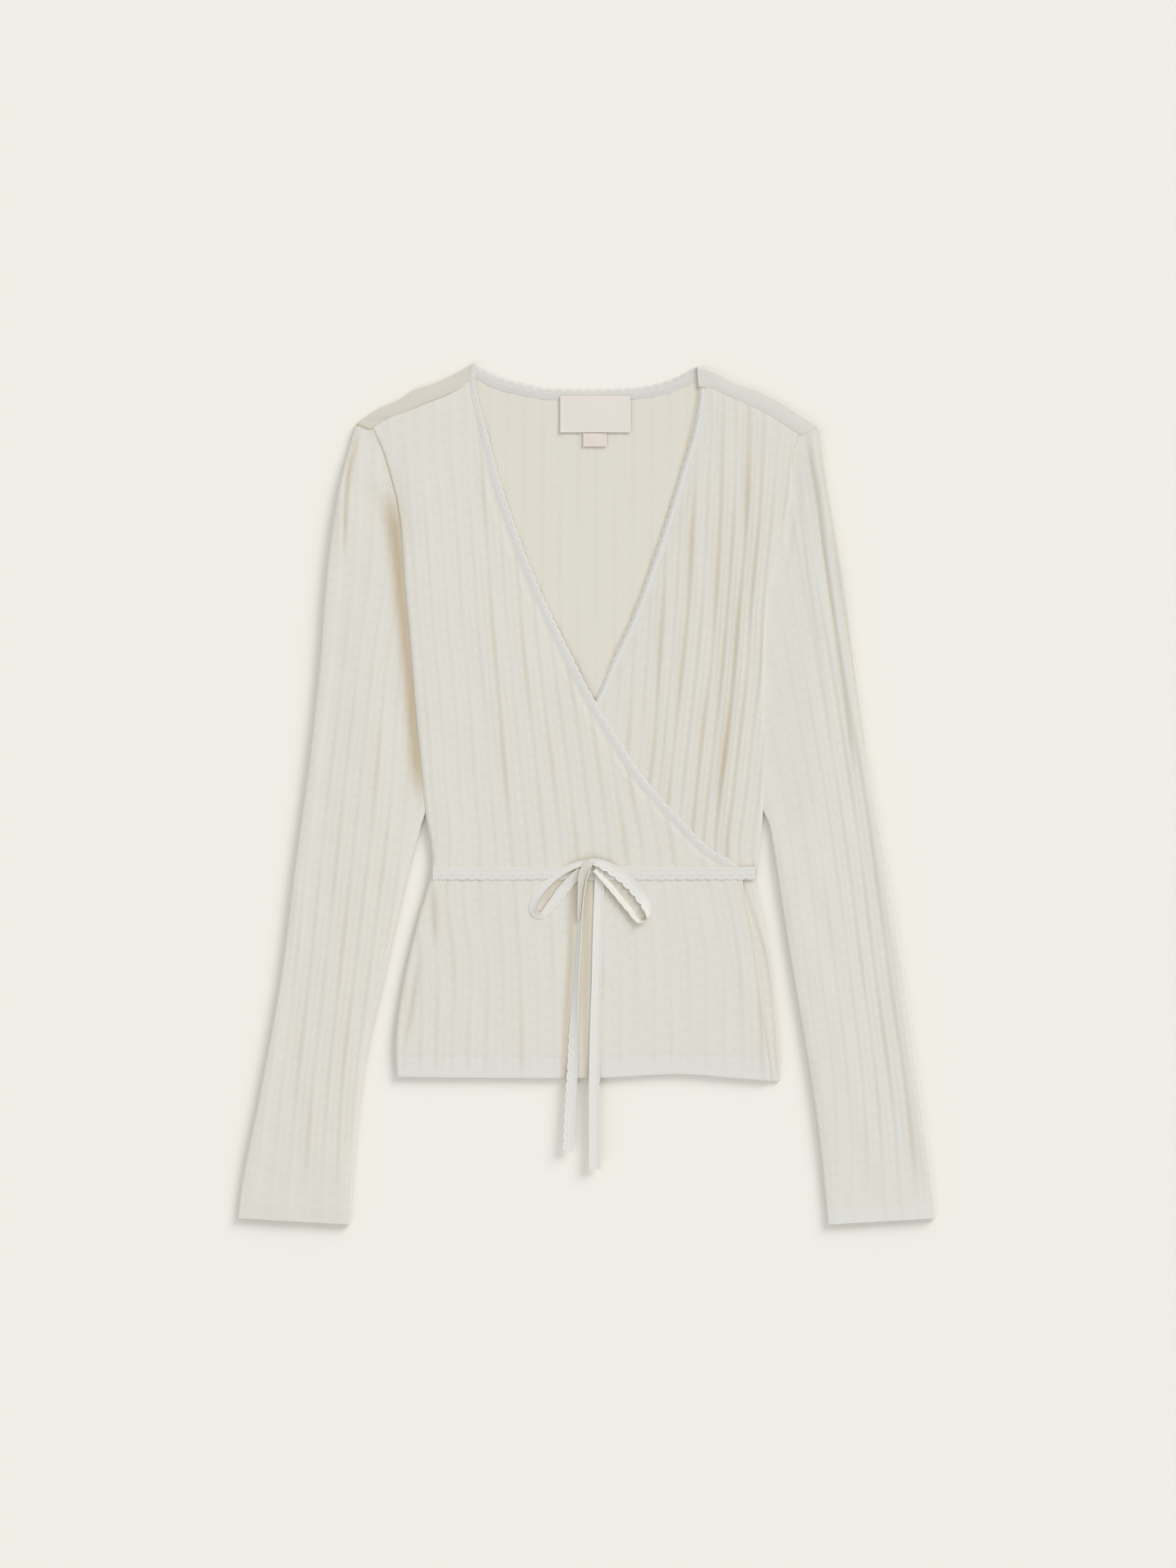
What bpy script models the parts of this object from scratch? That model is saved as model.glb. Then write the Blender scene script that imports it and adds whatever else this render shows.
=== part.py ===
"""A knitted wrap cardigan laid flat, front up, as the pieces that are cut and sewn.

The wearer's right is at -X and the neck is towards +Y. The tables are in millimetres,
and the models are in metres. Every piece is a wall of cloth, and neighbours keep a small
gap along their seam.
"""
import math

import bmesh
import bpy
import numpy as np

MM = 0.001
CLOTH = 1.3             # thickness of the knit
LABEL_CLOTH = 0.7       # thickness of the woven labels
SEAM = 0.4              # gap along a seam
LAYER_GAP = 0.35        # air between two layers of cloth
LAYER = CLOTH + LAYER_GAP

# Heights of the middle of the cloth above the surface
BACK_LEVEL = CLOTH / 2
UNDER_LEVEL = 2.4
OVER_LEVEL = UNDER_LEVEL + LAYER
TIE_LEVEL = 5.9
SLEEVE_LEVEL = 3.9
SEAM_OVER_LEVEL = 2.9   # where the upper front meets its side seam
FOLD_UNDER_LEVEL = 3.6  # top of the left shoulder's fold

HEM_Y = -216.0
WAIST_Y = -56.0
UNDERARM_Y = 112.0
SHOULDER_Y = 277.0
PEPLUM_HEIGHTS = (HEM_Y, -190.0, -160.0, -130.0, -95.0, -75.0)
WAIST_HEIGHTS = (WAIST_Y, -38.0, -14.0, 14.0, 45.0, 78.0)
ARMHOLE_HEIGHTS = (UNDERARM_Y, 140.0, 168.0, 193.0, 214.0, 232.0, 248.0, 263.0, SHOULDER_Y)

TRIM_WIDTH = 8.4
BACK_TRIM_WIDTH = 8.0
WAIST_BAND_WIDTH = 10.0
WAIST_BAND_Y = -60.0
WAIST_BAND_ENDS = (-117.4, 130.0)

ROLL_RADIUS = 4.5       # how quickly a front turns down to the side seam
ROLL_REACH = 20.0       # how far its swelling runs in from the side
TOP_REACH = 60.0        # how far below the shoulder its slant is still felt
STRIP_LEG = 3.0         # part of a shoulder strip that lies behind the fold
STRIP_ANGLES = (90.0, 45.0, 0.0, -45.0, -90.0)   # points round its fold
STRIP_SLANT = 1.25      # its depth along y, for its depth across the slanting fold
NECK_STEPS = 10         # steps of the back neck seam
FOLD_ANGLES = (80.0, 30.0, -30.0, -80.0)    # points round a folded sleeve edge

KNIT = (0.80, 0.77, 0.70)
TRIM_KNIT = (0.84, 0.82, 0.77)
LABEL_WEAVE = (0.86, 0.83, 0.76)

# Sides of the body from hem to shoulder. right_rise and left_rise: how far each front
# swells above its level beside the seam.
#    y       right    left   right_rise left_rise
SIDES = (
    (-216.0, -144.4, 147.8, 0.3, 0.0),
    (-190.0, -145.4, 147.2, 0.3, 0.0),
    (-160.0, -142.0, 144.1, 0.3, 0.0),
    (-130.0, -136.4, 140.6, 0.3, 0.0),
    (-94.8, -127.8, 135.0, 0.3, 0.0),
    (-66.0, -119.6, 129.4, 0.3, 0.0),
    (-54.0, -117.4, 131.0, 0.6, 0.0),
    (-14.0, -122.4, 134.8, 2.0, 0.4),
    (30.0, -126.6, 135.6, 3.4, 0.9),
    (75.0, -130.8, 136.2, 3.6, 1.2),
    (118.8, -134.4, 137.2, 3.6, 1.4),
    (163.2, -138.4, 142.2, 3.2, 1.4),
    (203.4, -141.4, 151.4, 2.6, 1.2),
    (223.2, -144.4, 156.0, 2.0, 0.9),
    (240.6, -149.4, 157.8, 1.2, 0.6),
    (261.6, -156.6, 159.8, 0.5, 0.3),
    (277.0, -164.4, 163.2, 0.0, 0.0),
)

# Free edges of the fronts below the waist, where they cross to the other side
#    y       over    under
WRAP_EDGES = (
    (-216.0, 141.4, -130.0),
    (-186.6, 137.4, -129.0),
    (-144.0, 131.1, -124.0),
    (-112.8, 126.0, -119.0),
    (-80.0, 121.0, -113.0),
    (-56.0, 118.6, -108.0),
)

# Middle of the neckline trims, from the waist up to the shoulder: x, y
NECK_RIGHT = (
    (109.0, -54.5), (91.0, -42.9), (69.8, -21.5), (41.5, 10.1), (16.8, 47.2), (2.2, 71.4),
    (-17.3, 109.3), (-42.8, 164.0), (-54.5, 194.0), (-70.0, 243.4), (-78.6, 272.1),
    (-84.8, 300.2), (-88.8, 324.6),
)
NECK_LEFT = (
    (-101.5, -52.0), (-69.0, -31.0), (-38.4, 0.0), (-10.2, 39.6), (10.6, 72.6), (22.3, 99.5),
    (34.8, 126.0), (57.7, 188.1), (77.0, 252.0), (84.2, 277.0), (89.2, 306.0), (89.4, 325.0),
)
NECK_BACK = (
    (-84.2, 325.2), (-66.0, 317.0), (-48.0, 310.8), (-32.4, 306.9), (-15.0, 306.2),
    (18.6, 306.4), (40.0, 307.4), (61.0, 311.4), (84.2, 322.6),
)

# Shoulder strips from the armhole to the neck: point on the fold, point on the forward seam
#   fold_x   fold_y  seam_x  seam_y
STRIP_RIGHT = (
    (-176.4, 283.4, -165.4, 279.0),
    (-159.5, 294.8, -150.4, 287.4),
    (-142.7, 302.5, -137.4, 292.8),
    (-132.0, 309.6, -123.6, 298.8),
    (-118.2, 314.0, -108.3, 304.8),
    (-95.8, 323.8, -94.4, 311.4),
)
STRIP_LEFT = (
    (178.8, 283.0, 164.8, 279.4),
    (162.8, 293.3, 148.3, 285.7),
    (146.0, 303.7, 134.5, 292.8),
    (133.8, 308.8, 122.0, 298.6),
    (113.1, 316.4, 108.0, 304.8),
    (94.8, 324.8, 94.4, 310.8),
)

# Sleeve edges from shoulder to cuff: y, x. The inner edge starts at the underarm.
SLEEVE_RIGHT_OUTER = (
    (281.6, -176.8), (265.2, -181.2), (242.4, -187.2), (210.0, -193.2), (154.2, -199.8),
    (108.0, -203.2), (23.4, -212.4), (-51.6, -222.6), (-141.6, -234.2), (-228.6, -250.0),
    (-309.6, -265.4), (-324.6, -267.2),
)
SLEEVE_RIGHT_INNER = (
    (112.0, -134.9), (75.0, -131.5), (30.0, -127.1), (-3.0, -124.6), (-15.6, -125.4),
    (-57.0, -135.0), (-91.8, -143.6), (-150.0, -156.4), (-204.0, -168.6), (-236.0, -173.0),
    (-279.0, -177.3), (-328.8, -180.6),
)
SLEEVE_LEFT_OUTER = (
    (279.6, 179.0), (248.4, 182.6), (222.0, 186.6), (178.8, 195.6), (100.2, 205.2),
    (39.0, 213.8), (-13.2, 222.6), (-74.4, 233.2), (-135.6, 242.6), (-235.8, 256.4),
    (-309.6, 266.2), (-321.6, 267.2),
)
SLEEVE_LEFT_INNER = (
    (112.0, 137.6), (75.0, 136.7), (30.0, 136.1), (-1.2, 136.1), (-16.2, 138.6),
    (-61.2, 145.8), (-87.0, 149.6), (-135.6, 157.4), (-177.0, 164.6), (-235.8, 174.0),
    (-294.6, 181.2), (-328.2, 184.2),
)

# Rings of a sleeve: height on the outer edge, height on the inner edge, and how much of
# the armhole's curve the ring keeps
#   outer_y inner_y  bow
SLEEVE_RINGS = (
    (281.0, 112.0, 1.00),
    (262.0, 104.0, 0.86),
    (240.0, 94.0, 0.70),
    (214.0, 82.0, 0.54),
    (184.0, 68.0, 0.38),
    (150.0, 50.0, 0.24),
    (112.0, 28.0, 0.12),
    (72.0, 2.0, 0.04),
    (30.0, -26.0, 0.00),
    (-14.0, -56.0, 0.00),
    (-60.0, -92.0, 0.00),
    (-106.0, -128.0, 0.00),
    (-152.0, -166.0, 0.00),
    (-198.0, -206.0, 0.00),
    (-244.0, -250.0, 0.00),
    (-286.0, -291.0, 0.00),
    (-323.5, -328.4, 0.00),
)

# Long soft folds of the sleeves: place across the sleeve from the outer edge (0) to the
# inner edge (1) at the top and at the cuff, height, half width, and where it starts and
# ends along the sleeve (0 shoulder, 1 cuff)
#   top   cuff  height width start  end
SLEEVE_FOLDS_RIGHT = (
    (0.10, 0.16, 1.8, 0.10, 0.00, 0.45),
    (0.55, 0.50, 1.2, 0.22, 0.20, 0.95),
)
SLEEVE_FOLDS_LEFT = (
    (0.16, 0.20, 2.2, 0.10, 0.00, 0.70),
    (0.60, 0.62, 1.4, 0.20, 0.30, 0.95),
)

# Bow loops and hanging ends, from the knot outwards. z is the middle of the band, lean
# turns the band from flat (0) to standing on its edge (90), width is across the band.
#    x      y      z    lean  width
LOOP_RIGHT = (
    (-4.6, -53.6, 10.4, 50.0, 3.4),
    (-12.0, -57.6, 10.8, 62.0, 7.0),
    (-24.0, -65.2, 11.2, 70.0, 8.8),
    (-36.0, -76.0, 11.4, 76.0, 8.8),
    (-43.4, -86.0, 11.4, 80.0, 8.8),
    (-42.4, -93.2, 11.0, 70.0, 8.8),
    (-35.0, -94.0, 10.2, 48.0, 8.8),
    (-25.0, -86.4, 9.2, 24.0, 8.8),
    (-15.0, -75.2, 8.6, 14.0, 8.8),
    (-7.0, -64.8, 8.4, 12.0, 5.0),
)
LOOP_LEFT = (
    (14.2, -54.0, 9.4, -12.0, 4.6),
    (22.0, -60.0, 9.6, -16.0, 8.0),
    (34.0, -68.8, 9.8, -22.0, 8.8),
    (46.0, -79.4, 10.4, -34.0, 8.8),
    (52.6, -89.4, 11.0, -60.0, 8.8),
    (50.0, -97.0, 11.4, -80.0, 8.8),
    (42.4, -97.8, 11.4, -80.0, 8.8),
    (32.0, -86.0, 11.2, -74.0, 8.8),
    (22.0, -73.4, 11.0, -68.0, 7.0),
    (14.0, -62.6, 10.6, -60.0, 3.4),
)
END_RIGHT = (
    (1.0, -63.6, 9.2, 50.0, 5.0),
    (-3.4, -80.0, 9.6, 66.0, 8.4),
    (-5.6, -104.0, 9.8, 76.0, 8.8),
    (-6.4, -130.0, 9.6, 68.0, 8.8),
    (-8.6, -152.0, 8.4, 42.0, 8.8),
    (-10.2, -174.0, 7.2, 18.0, 8.8),
    (-11.4, -216.0, 6.4, 4.0, 8.6),
    (-12.8, -244.0, 6.2, 2.0, 8.4),
    (-14.1, -272.0, 6.4, 0.0, 8.4),
)
END_LEFT = (
    (9.4, -63.6, 8.4, -6.0, 5.4),
    (9.0, -80.0, 7.6, -8.0, 8.6),
    (8.0, -115.0, 6.8, -6.0, 8.8),
    (6.8, -171.0, 6.4, -3.0, 8.8),
    (6.2, -216.0, 6.3, 0.0, 8.8),
    (6.4, -256.0, 6.2, 0.0, 9.0),
    (6.6, -285.6, 6.4, 0.0, 9.4),
)
KNOT_CENTRE = (4.8, -54.6, 9.9)
KNOT_RADII = (7.8, 7.6, 2.9)

# Labels: x and y of the lower left corner, width, height
LABEL_MAIN = (-20.1, 277.2, 54.0, 28.2)
LABEL_SIZE = (-2.4, 266.4, 18.0, 10.2)


# ---------------------------------------------------------------- curves and tables

def table_value(rows, key, column, key_column=0):
    """Smooth value of a table's column, with the table read along its key column."""
    rows = sorted(rows, key=lambda row: row[key_column])
    keys = np.array([row[key_column] for row in rows])
    values = np.array([row[column] for row in rows])
    slopes = np.gradient(values, keys)
    key = min(max(key, keys[0]), keys[-1])
    i = min(int(np.searchsorted(keys, key, side="right")) - 1, len(keys) - 2)
    step = keys[i + 1] - keys[i]
    t = (key - keys[i]) / step
    return (
        values[i] * (2 * t ** 3 - 3 * t ** 2 + 1)
        + values[i + 1] * (3 * t ** 2 - 2 * t ** 3)
        + slopes[i] * step * (t ** 3 - 2 * t ** 2 + t)
        + slopes[i + 1] * step * (t ** 3 - t ** 2)
    )


def smooth_path(rows, count):
    """count rows at even steps along a smooth curve through the given rows."""
    rows = np.array(rows, dtype=float)
    plan = rows[:, :2]
    lengths = np.concatenate(([0.0], np.cumsum(np.linalg.norm(np.diff(plan, axis=0), axis=1))))
    keyed = [(length, *row) for length, row in zip(lengths, rows)]
    columns = range(1, rows.shape[1] + 1)
    stations = np.linspace(0.0, lengths[-1], count)
    return np.array([[table_value(keyed, s, c) for c in columns] for s in stations])


class Path:
    """A smooth curve in plan through a table's points, read by fraction of its length."""

    def __init__(self, rows, samples=160):
        self.points = smooth_path([row[:2] for row in rows], samples)
        self.sides = path_sides(self.points)

    def point(self, fraction, shift=0.0):
        """Point at a fraction of the length, moved by shift to the left of the path."""
        at = fraction * (len(self.points) - 1)
        stations = np.arange(len(self.points))
        moved = self.points + self.sides * shift
        return np.array([np.interp(at, stations, moved[:, axis]) for axis in range(2)])

    def fraction_at_height(self, y):
        """Fraction of the length at which a climbing path reaches height y."""
        return float(np.interp(y, self.points[:, 1], np.linspace(0.0, 1.0, len(self.points))))


def path_sides(rows):
    """Unit vectors across a path, pointing to its left."""
    along = np.gradient(np.asarray(rows)[:, :2], axis=0)
    along /= np.linalg.norm(along, axis=1)[:, None]
    return np.column_stack((-along[:, 1], along[:, 0]))


# ---------------------------------------------------------------- making objects

def new_object(name, mesh, material):
    """Link a mesh in the cardigan's collection, with its material."""
    mesh.materials.append(material)
    mesh.shade_smooth()
    piece = bpy.data.objects.new(name, mesh)
    bpy.data.collections["cardigan"].objects.link(piece)
    return piece


def sheet(name, points, material, thickness=CLOTH, closed=False):
    """A wall of cloth on a grid of points in millimetres: rows by columns by xyz."""
    rows, columns = len(points), len(points[0])
    bm = bmesh.new()
    bmesh.ops.create_grid(bm, x_segments=columns - 1, y_segments=rows - 1, size=1.0)
    bm.verts.ensure_lookup_table()
    for index, vertex in enumerate(bm.verts):
        row, column = divmod(index, columns)
        vertex.co = [value * MM for value in points[row][column]]
    if closed:
        bmesh.ops.remove_doubles(bm, verts=bm.verts, dist=0.00001)
        bmesh.ops.recalc_face_normals(bm, faces=bm.faces)
    mesh = bpy.data.meshes.new(name)
    bm.to_mesh(mesh)
    bm.free()
    piece = new_object(name, mesh, material)
    solidify = piece.modifiers.new("cloth", "SOLIDIFY")
    solidify.thickness = thickness * MM
    solidify.offset = 0.0
    return piece


def knit_material(name, colour, roughness):
    """Plain finish of one kind of cloth."""
    material = bpy.data.materials.new(name)
    material.use_nodes = True
    shader = material.node_tree.nodes["Principled BSDF"]
    shader.inputs["Base Color"].default_value = (*colour, 1.0)
    shader.inputs["Roughness"].default_value = roughness
    shader.inputs["Metallic"].default_value = 0.0
    return material


# ---------------------------------------------------------------- body panels

def front_level(distance, level, seam_level, rise):
    """Middle of a front at a distance from its side seam: down at the seam, then level."""
    top = level + rise * math.exp(-(distance / ROLL_REACH) ** 2)
    if distance >= ROLL_RADIUS:
        return top
    turn = 1.0 - distance / ROLL_RADIUS
    return seam_level + (top - seam_level) * math.sqrt(1.0 - turn * turn)


class Front:
    """One front: its side, its far edge, and how it lies."""

    def __init__(self, side_column, neck, strip, level, seam_level):
        self.side_column = side_column
        self.rise_column = side_column + 2
        self.wrap_column = side_column
        self.strip = strip
        self.level = level
        self.seam_level = seam_level
        self.towards_centre = 1.0 if side_column == 1 else -1.0
        self.neck = Path(neck)
        self.top_fraction = self.neck.fraction_at_height(strip[-1][3] - 2.0 * SEAM)

    def side(self, y):
        """Middle of the cloth where it turns down at the side seam, at height y."""
        edge = table_value(SIDES, y, self.side_column)
        return np.array((edge + self.towards_centre * CLOTH / 2, y))

    def neck_fraction(self, y):
        """Fraction of the neckline that faces height y on the side."""
        return (y - WAIST_Y) / (SHOULDER_Y - WAIST_Y) * self.top_fraction

    def far_edge(self, y):
        """Point across from the side seam's point at height y."""
        if y < WAIST_Y:
            return np.array((table_value(WRAP_EDGES, y, self.wrap_column), y))
        shift = self.towards_centre * (TRIM_WIDTH / 2 + SEAM)
        return self.neck.point(self.neck_fraction(y), shift)

    def lie(self, distance, y):
        """Height of the middle of the cloth, at a distance from the side seam."""
        rise = table_value(SIDES, y, self.rise_column)
        return front_level(distance, self.level, self.seam_level, rise)

    def point(self, y, distance):
        """Point at a distance from the side seam, on the line that starts at height y."""
        start = self.side(y)
        end = self.far_edge(y)
        x, line_y = start + (end - start) * (distance / np.linalg.norm(end - start))
        near_top = max(0.0, 1.0 - (SHOULDER_Y - y) / TOP_REACH)
        line_y += near_top * (self.top_y(x) - self.chord_y(x))
        return (x, line_y, self.lie(distance, y))

    def top_y(self, x):
        """Upper edge of the front, along the forward shoulder seam."""
        return table_value(self.strip, x, 3, key_column=2) - 2.0 * SEAM

    def chord_y(self, x):
        """Straight line between the ends of the upper edge."""
        ends = sorted((tuple(self.side(SHOULDER_Y)), tuple(self.far_edge(SHOULDER_Y))))
        return np.interp(x, (ends[0][0], ends[1][0]), (ends[0][1], ends[1][1]))


def make_front(name, front, material):
    """A front panel from hem to forward shoulder seam."""
    near_side = (0.0, 1.4, 4.5, 12.0, 24.0)
    steps_across = 6
    grid = []
    for y in PEPLUM_HEIGHTS + WAIST_HEIGHTS + ARMHOLE_HEIGHTS:
        span = np.linalg.norm(front.far_edge(y) - front.side(y))
        even = np.linspace(near_side[-1], span, steps_across + 1)
        row = [front.point(y, distance) for distance in (*near_side, *even[1:])]
        grid.append(row if front.towards_centre > 0.0 else row[::-1])
    return sheet(name, grid, material)


def back_top(x, seam):
    """Upper edge of the back at x: the neck seam, or the end of a shoulder strip."""
    if seam[0][0] <= x <= seam[-1][0]:
        return float(np.interp(x, seam[:, 0], seam[:, 1]))
    strip = STRIP_RIGHT if x < 0.0 else STRIP_LEFT
    fold = strip_fold_level(strip)
    inset = (STRIP_LEG + (fold - BACK_LEVEL) / 2 + CLOTH / 2) * STRIP_SLANT
    return table_value(strip, x, 1) - inset - SEAM


def make_back(material):
    """The back panel, flat on the surface."""
    neck = Path(NECK_BACK)
    shift = -(BACK_TRIM_WIDTH / 2 + SEAM)
    seam = np.array([neck.point(f, shift) for f in np.linspace(0.0, 1.0, NECK_STEPS + 1)])
    left_end = table_value(SIDES, SHOULDER_Y, 1)
    right_end = table_value(SIDES, SHOULDER_Y, 2)
    shoulder_points = 5
    tops = np.concatenate((
        np.linspace(left_end, seam[0][0], shoulder_points)[:-1],
        seam[:, 0],
        np.linspace(seam[-1][0], right_end, shoulder_points)[1:],
    ))
    grid = []
    for y in PEPLUM_HEIGHTS + WAIST_HEIGHTS + ARMHOLE_HEIGHTS:
        left = table_value(SIDES, y, 1)
        right = table_value(SIDES, y, 2)
        climb = (y - HEM_Y) / (SHOULDER_Y - HEM_Y)
        row = []
        for top_x in tops:
            across = (top_x - tops[0]) / (tops[-1] - tops[0])
            x = left + (right - left) * across
            lift = back_top(top_x, seam) - SHOULDER_Y if 0.0 < across < 1.0 else 0.0
            row.append((x, y + lift * climb ** 3, BACK_LEVEL))
        grid.append(row)
    return sheet("back", grid, material)


# ---------------------------------------------------------------- shoulders and sleeves

def strip_fold_level(strip):
    """Height of the cloth just in front of a shoulder's fold."""
    return OVER_LEVEL if strip is STRIP_RIGHT else FOLD_UNDER_LEVEL


def make_strip(name, strip, seam_level, material):
    """A shoulder strip: from the forward seam, over the fold and a little way behind."""
    fold_level = strip_fold_level(strip)
    radius = (fold_level - BACK_LEVEL) / 2
    grid = []
    for row in strip:
        fold = np.array(row[:2])
        seam = np.array(row[2:])
        out = (fold - seam) / np.linalg.norm(fold - seam)
        centre = fold - out * (radius + CLOTH / 2)
        section = [(seam, seam_level), ((seam + centre) / 2, (seam_level + fold_level) / 2)]
        for angle in STRIP_ANGLES:
            turn = math.radians(angle)
            height = BACK_LEVEL + radius * (1.0 + math.sin(turn))
            section.append((centre + out * radius * math.cos(turn), height))
        section.append((centre - out * STRIP_LEG, BACK_LEVEL))
        grid.append([(*point, height) for point, height in section])
    if strip is STRIP_LEFT:
        grid = grid[::-1]
    return sheet(name, grid, material)


class Sleeve:
    """One sleeve as rings between its outer and inner edges."""

    def __init__(self, side_column, outer, inner, folds, seam_level):
        self.outer = outer
        self.inner = inner
        self.folds = folds
        self.seam_level = seam_level
        gap = -SEAM if side_column == 1 else SEAM
        seam = [(table_value(SIDES, y, side_column) + gap, y) for y in ARMHOLE_HEIGHTS[::-1]]
        self.armhole = np.array([self.edge(outer, outer[0][0])] + seam)
        steps = np.linalg.norm(np.diff(self.armhole, axis=0), axis=1)
        self.across = np.concatenate(([0.0], np.cumsum(steps))) / steps.sum()

    @staticmethod
    def edge(rows, y):
        """Point of a sleeve's edge at height y."""
        return np.array((table_value(rows, y, 1), y))

    def armhole_bow(self, across):
        """How far the armhole curve stands off its chord."""
        start, end = self.armhole[0], self.armhole[-1]
        curve = [np.interp(across, self.across, self.armhole[:, axis]) for axis in range(2)]
        return np.array(curve) - (start + (end - start) * across)

    def wall_level(self, ring, across):
        """Height of the upper wall, across from the outer edge (0) to the inner edge (1)."""
        along = ring / (len(SLEEVE_RINGS) - 1)
        leave = min(ring / 2.0, 1.0)
        tip = max(0.0, 1.0 - across / self.across[1])
        start = self.seam_level + (OVER_LEVEL - self.seam_level) * tip
        level = start + (SLEEVE_LEVEL - start) * leave
        for top, cuff, height, width, first, last in self.folds:
            middle = (first + last) / 2
            reach = max(0.0, 1.0 - ((along - middle) / (last - first) * 2) ** 2)
            place = top + (cuff - top) * along
            level += height * reach * leave * math.exp(-((across - place) / width) ** 2)
        return level

    def fold_arc(self, index, across, angles):
        """Points round one folded edge: share of the fold's depth, and height."""
        radius = (self.wall_level(index, across) - BACK_LEVEL) / 2
        for angle in angles:
            turn = math.radians(angle)
            depth = radius * (1.0 - math.cos(turn)) + CLOTH / 2
            yield depth, BACK_LEVEL + radius * (1.0 + math.sin(turn))

    def ring(self, index):
        """Closed loop of points: upper wall, inner fold, lower wall, outer fold."""
        outer_y, inner_y, bow = SLEEVE_RINGS[index]
        start = self.edge(self.outer, outer_y)
        end = self.edge(self.inner, inner_y)
        span = np.linalg.norm(end - start)

        def place(distance):
            across = distance / span
            return start + (end - start) * across + self.armhole_bow(across) * bow

        points = []
        for across in self.across[1:-1]:
            points.append((*place(across * span), self.wall_level(index, across)))
        for depth, height in self.fold_arc(index, 1.0, FOLD_ANGLES):
            points.append((*place(span - depth), height))
        for across in self.across[-2:0:-1]:
            points.append((*place(across * span), BACK_LEVEL))
        for depth, height in self.fold_arc(index, 0.0, FOLD_ANGLES[::-1]):
            points.append((*place(depth), height))
        return points


def make_sleeve(name, sleeve, material):
    """A sleeve as a flattened tube, open at armhole and cuff."""
    grid = []
    for index in range(len(SLEEVE_RINGS)):
        ring = sleeve.ring(index)
        grid.append(ring + ring[:1])
    return sheet(name, grid, material, closed=True)


# ---------------------------------------------------------------- bands

def make_flat_band(name, path, fractions, width, level, material, end_drop=0.0):
    """A band lying flat along a path. Its last end may turn down over the shoulder."""
    path = Path(path)
    grid = []
    for fraction in fractions:
        height = level - (end_drop if fraction == fractions[-1] else 0.0)
        grid.append([
            (*path.point(fraction, shift), height) for shift in (width / 2, 0.0, -width / 2)
        ])
    return sheet(name, grid, material)


def neck_stations(front):
    """Fractions of a neckline that face the rows of its front, and the shoulder's fold."""
    heights = WAIST_HEIGHTS + ARMHOLE_HEIGHTS
    return [front.neck_fraction(y) for y in heights] + [1.0]


def make_waist_band(name, first_x, last_x, front, material):
    """Half of the waist band, lying on the upper front."""
    grid = []
    for x in np.linspace(first_x, last_x, 10):
        row = []
        for across in (0.5, 0.0, -0.5):
            y = WAIST_BAND_Y + across * WAIST_BAND_WIDTH
            distance = max(x - front.side(y)[0], ROLL_RADIUS)
            row.append((x, y, front.lie(distance, y) + TIE_LEVEL - OVER_LEVEL))
        grid.append(row)
    return sheet(name, grid, material)


def make_loose_band(name, rows, material, count):
    """A band that turns about its own length: a loop of the bow or a hanging end."""
    path = smooth_path(rows, count)
    sides = path_sides(path)
    grid = []
    for (x, y, z, lean, width), side in zip(path, sides):
        turn = math.radians(lean)
        half = width / 2
        across = (side[0] * math.cos(turn) * half, side[1] * math.cos(turn) * half)
        lift = math.sin(turn) * half
        grid.append([
            (x + across[0], y + across[1], z + lift),
            (x - across[0], y - across[1], z - lift),
        ])
    return sheet(name, grid, material)


def make_knot(material):
    """The knot: a flattened round lump of cloth."""
    bm = bmesh.new()
    bmesh.ops.create_uvsphere(bm, u_segments=12, v_segments=7, radius=1.0)
    for vertex in bm.verts:
        vertex.co = [
            (centre + radius * value) * MM
            for centre, radius, value in zip(KNOT_CENTRE, KNOT_RADII, vertex.co)
        ]
    mesh = bpy.data.meshes.new("tie_knot")
    bm.to_mesh(mesh)
    bm.free()
    return new_object("tie_knot", mesh, material)


def make_label(name, place, material):
    """A woven label lying on the inside of the back."""
    x, y, width, height = place
    level = CLOTH + LAYER_GAP + LABEL_CLOTH / 2
    corners = ((0.0, 0.0), (1.0, 0.0), (0.0, 1.0), (1.0, 1.0))
    points = [(x + width * u, y + height * v, level) for u, v in corners]
    return sheet(name, [points[:2], points[2:]], material, thickness=LABEL_CLOTH)


# ---------------------------------------------------------------- the cardigan

def clear_scene():
    """Start from an empty scene."""
    for item in list(bpy.data.objects):
        bpy.data.objects.remove(item, do_unlink=True)
    collection = bpy.data.collections.new("cardigan")
    bpy.context.scene.collection.children.link(collection)


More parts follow.
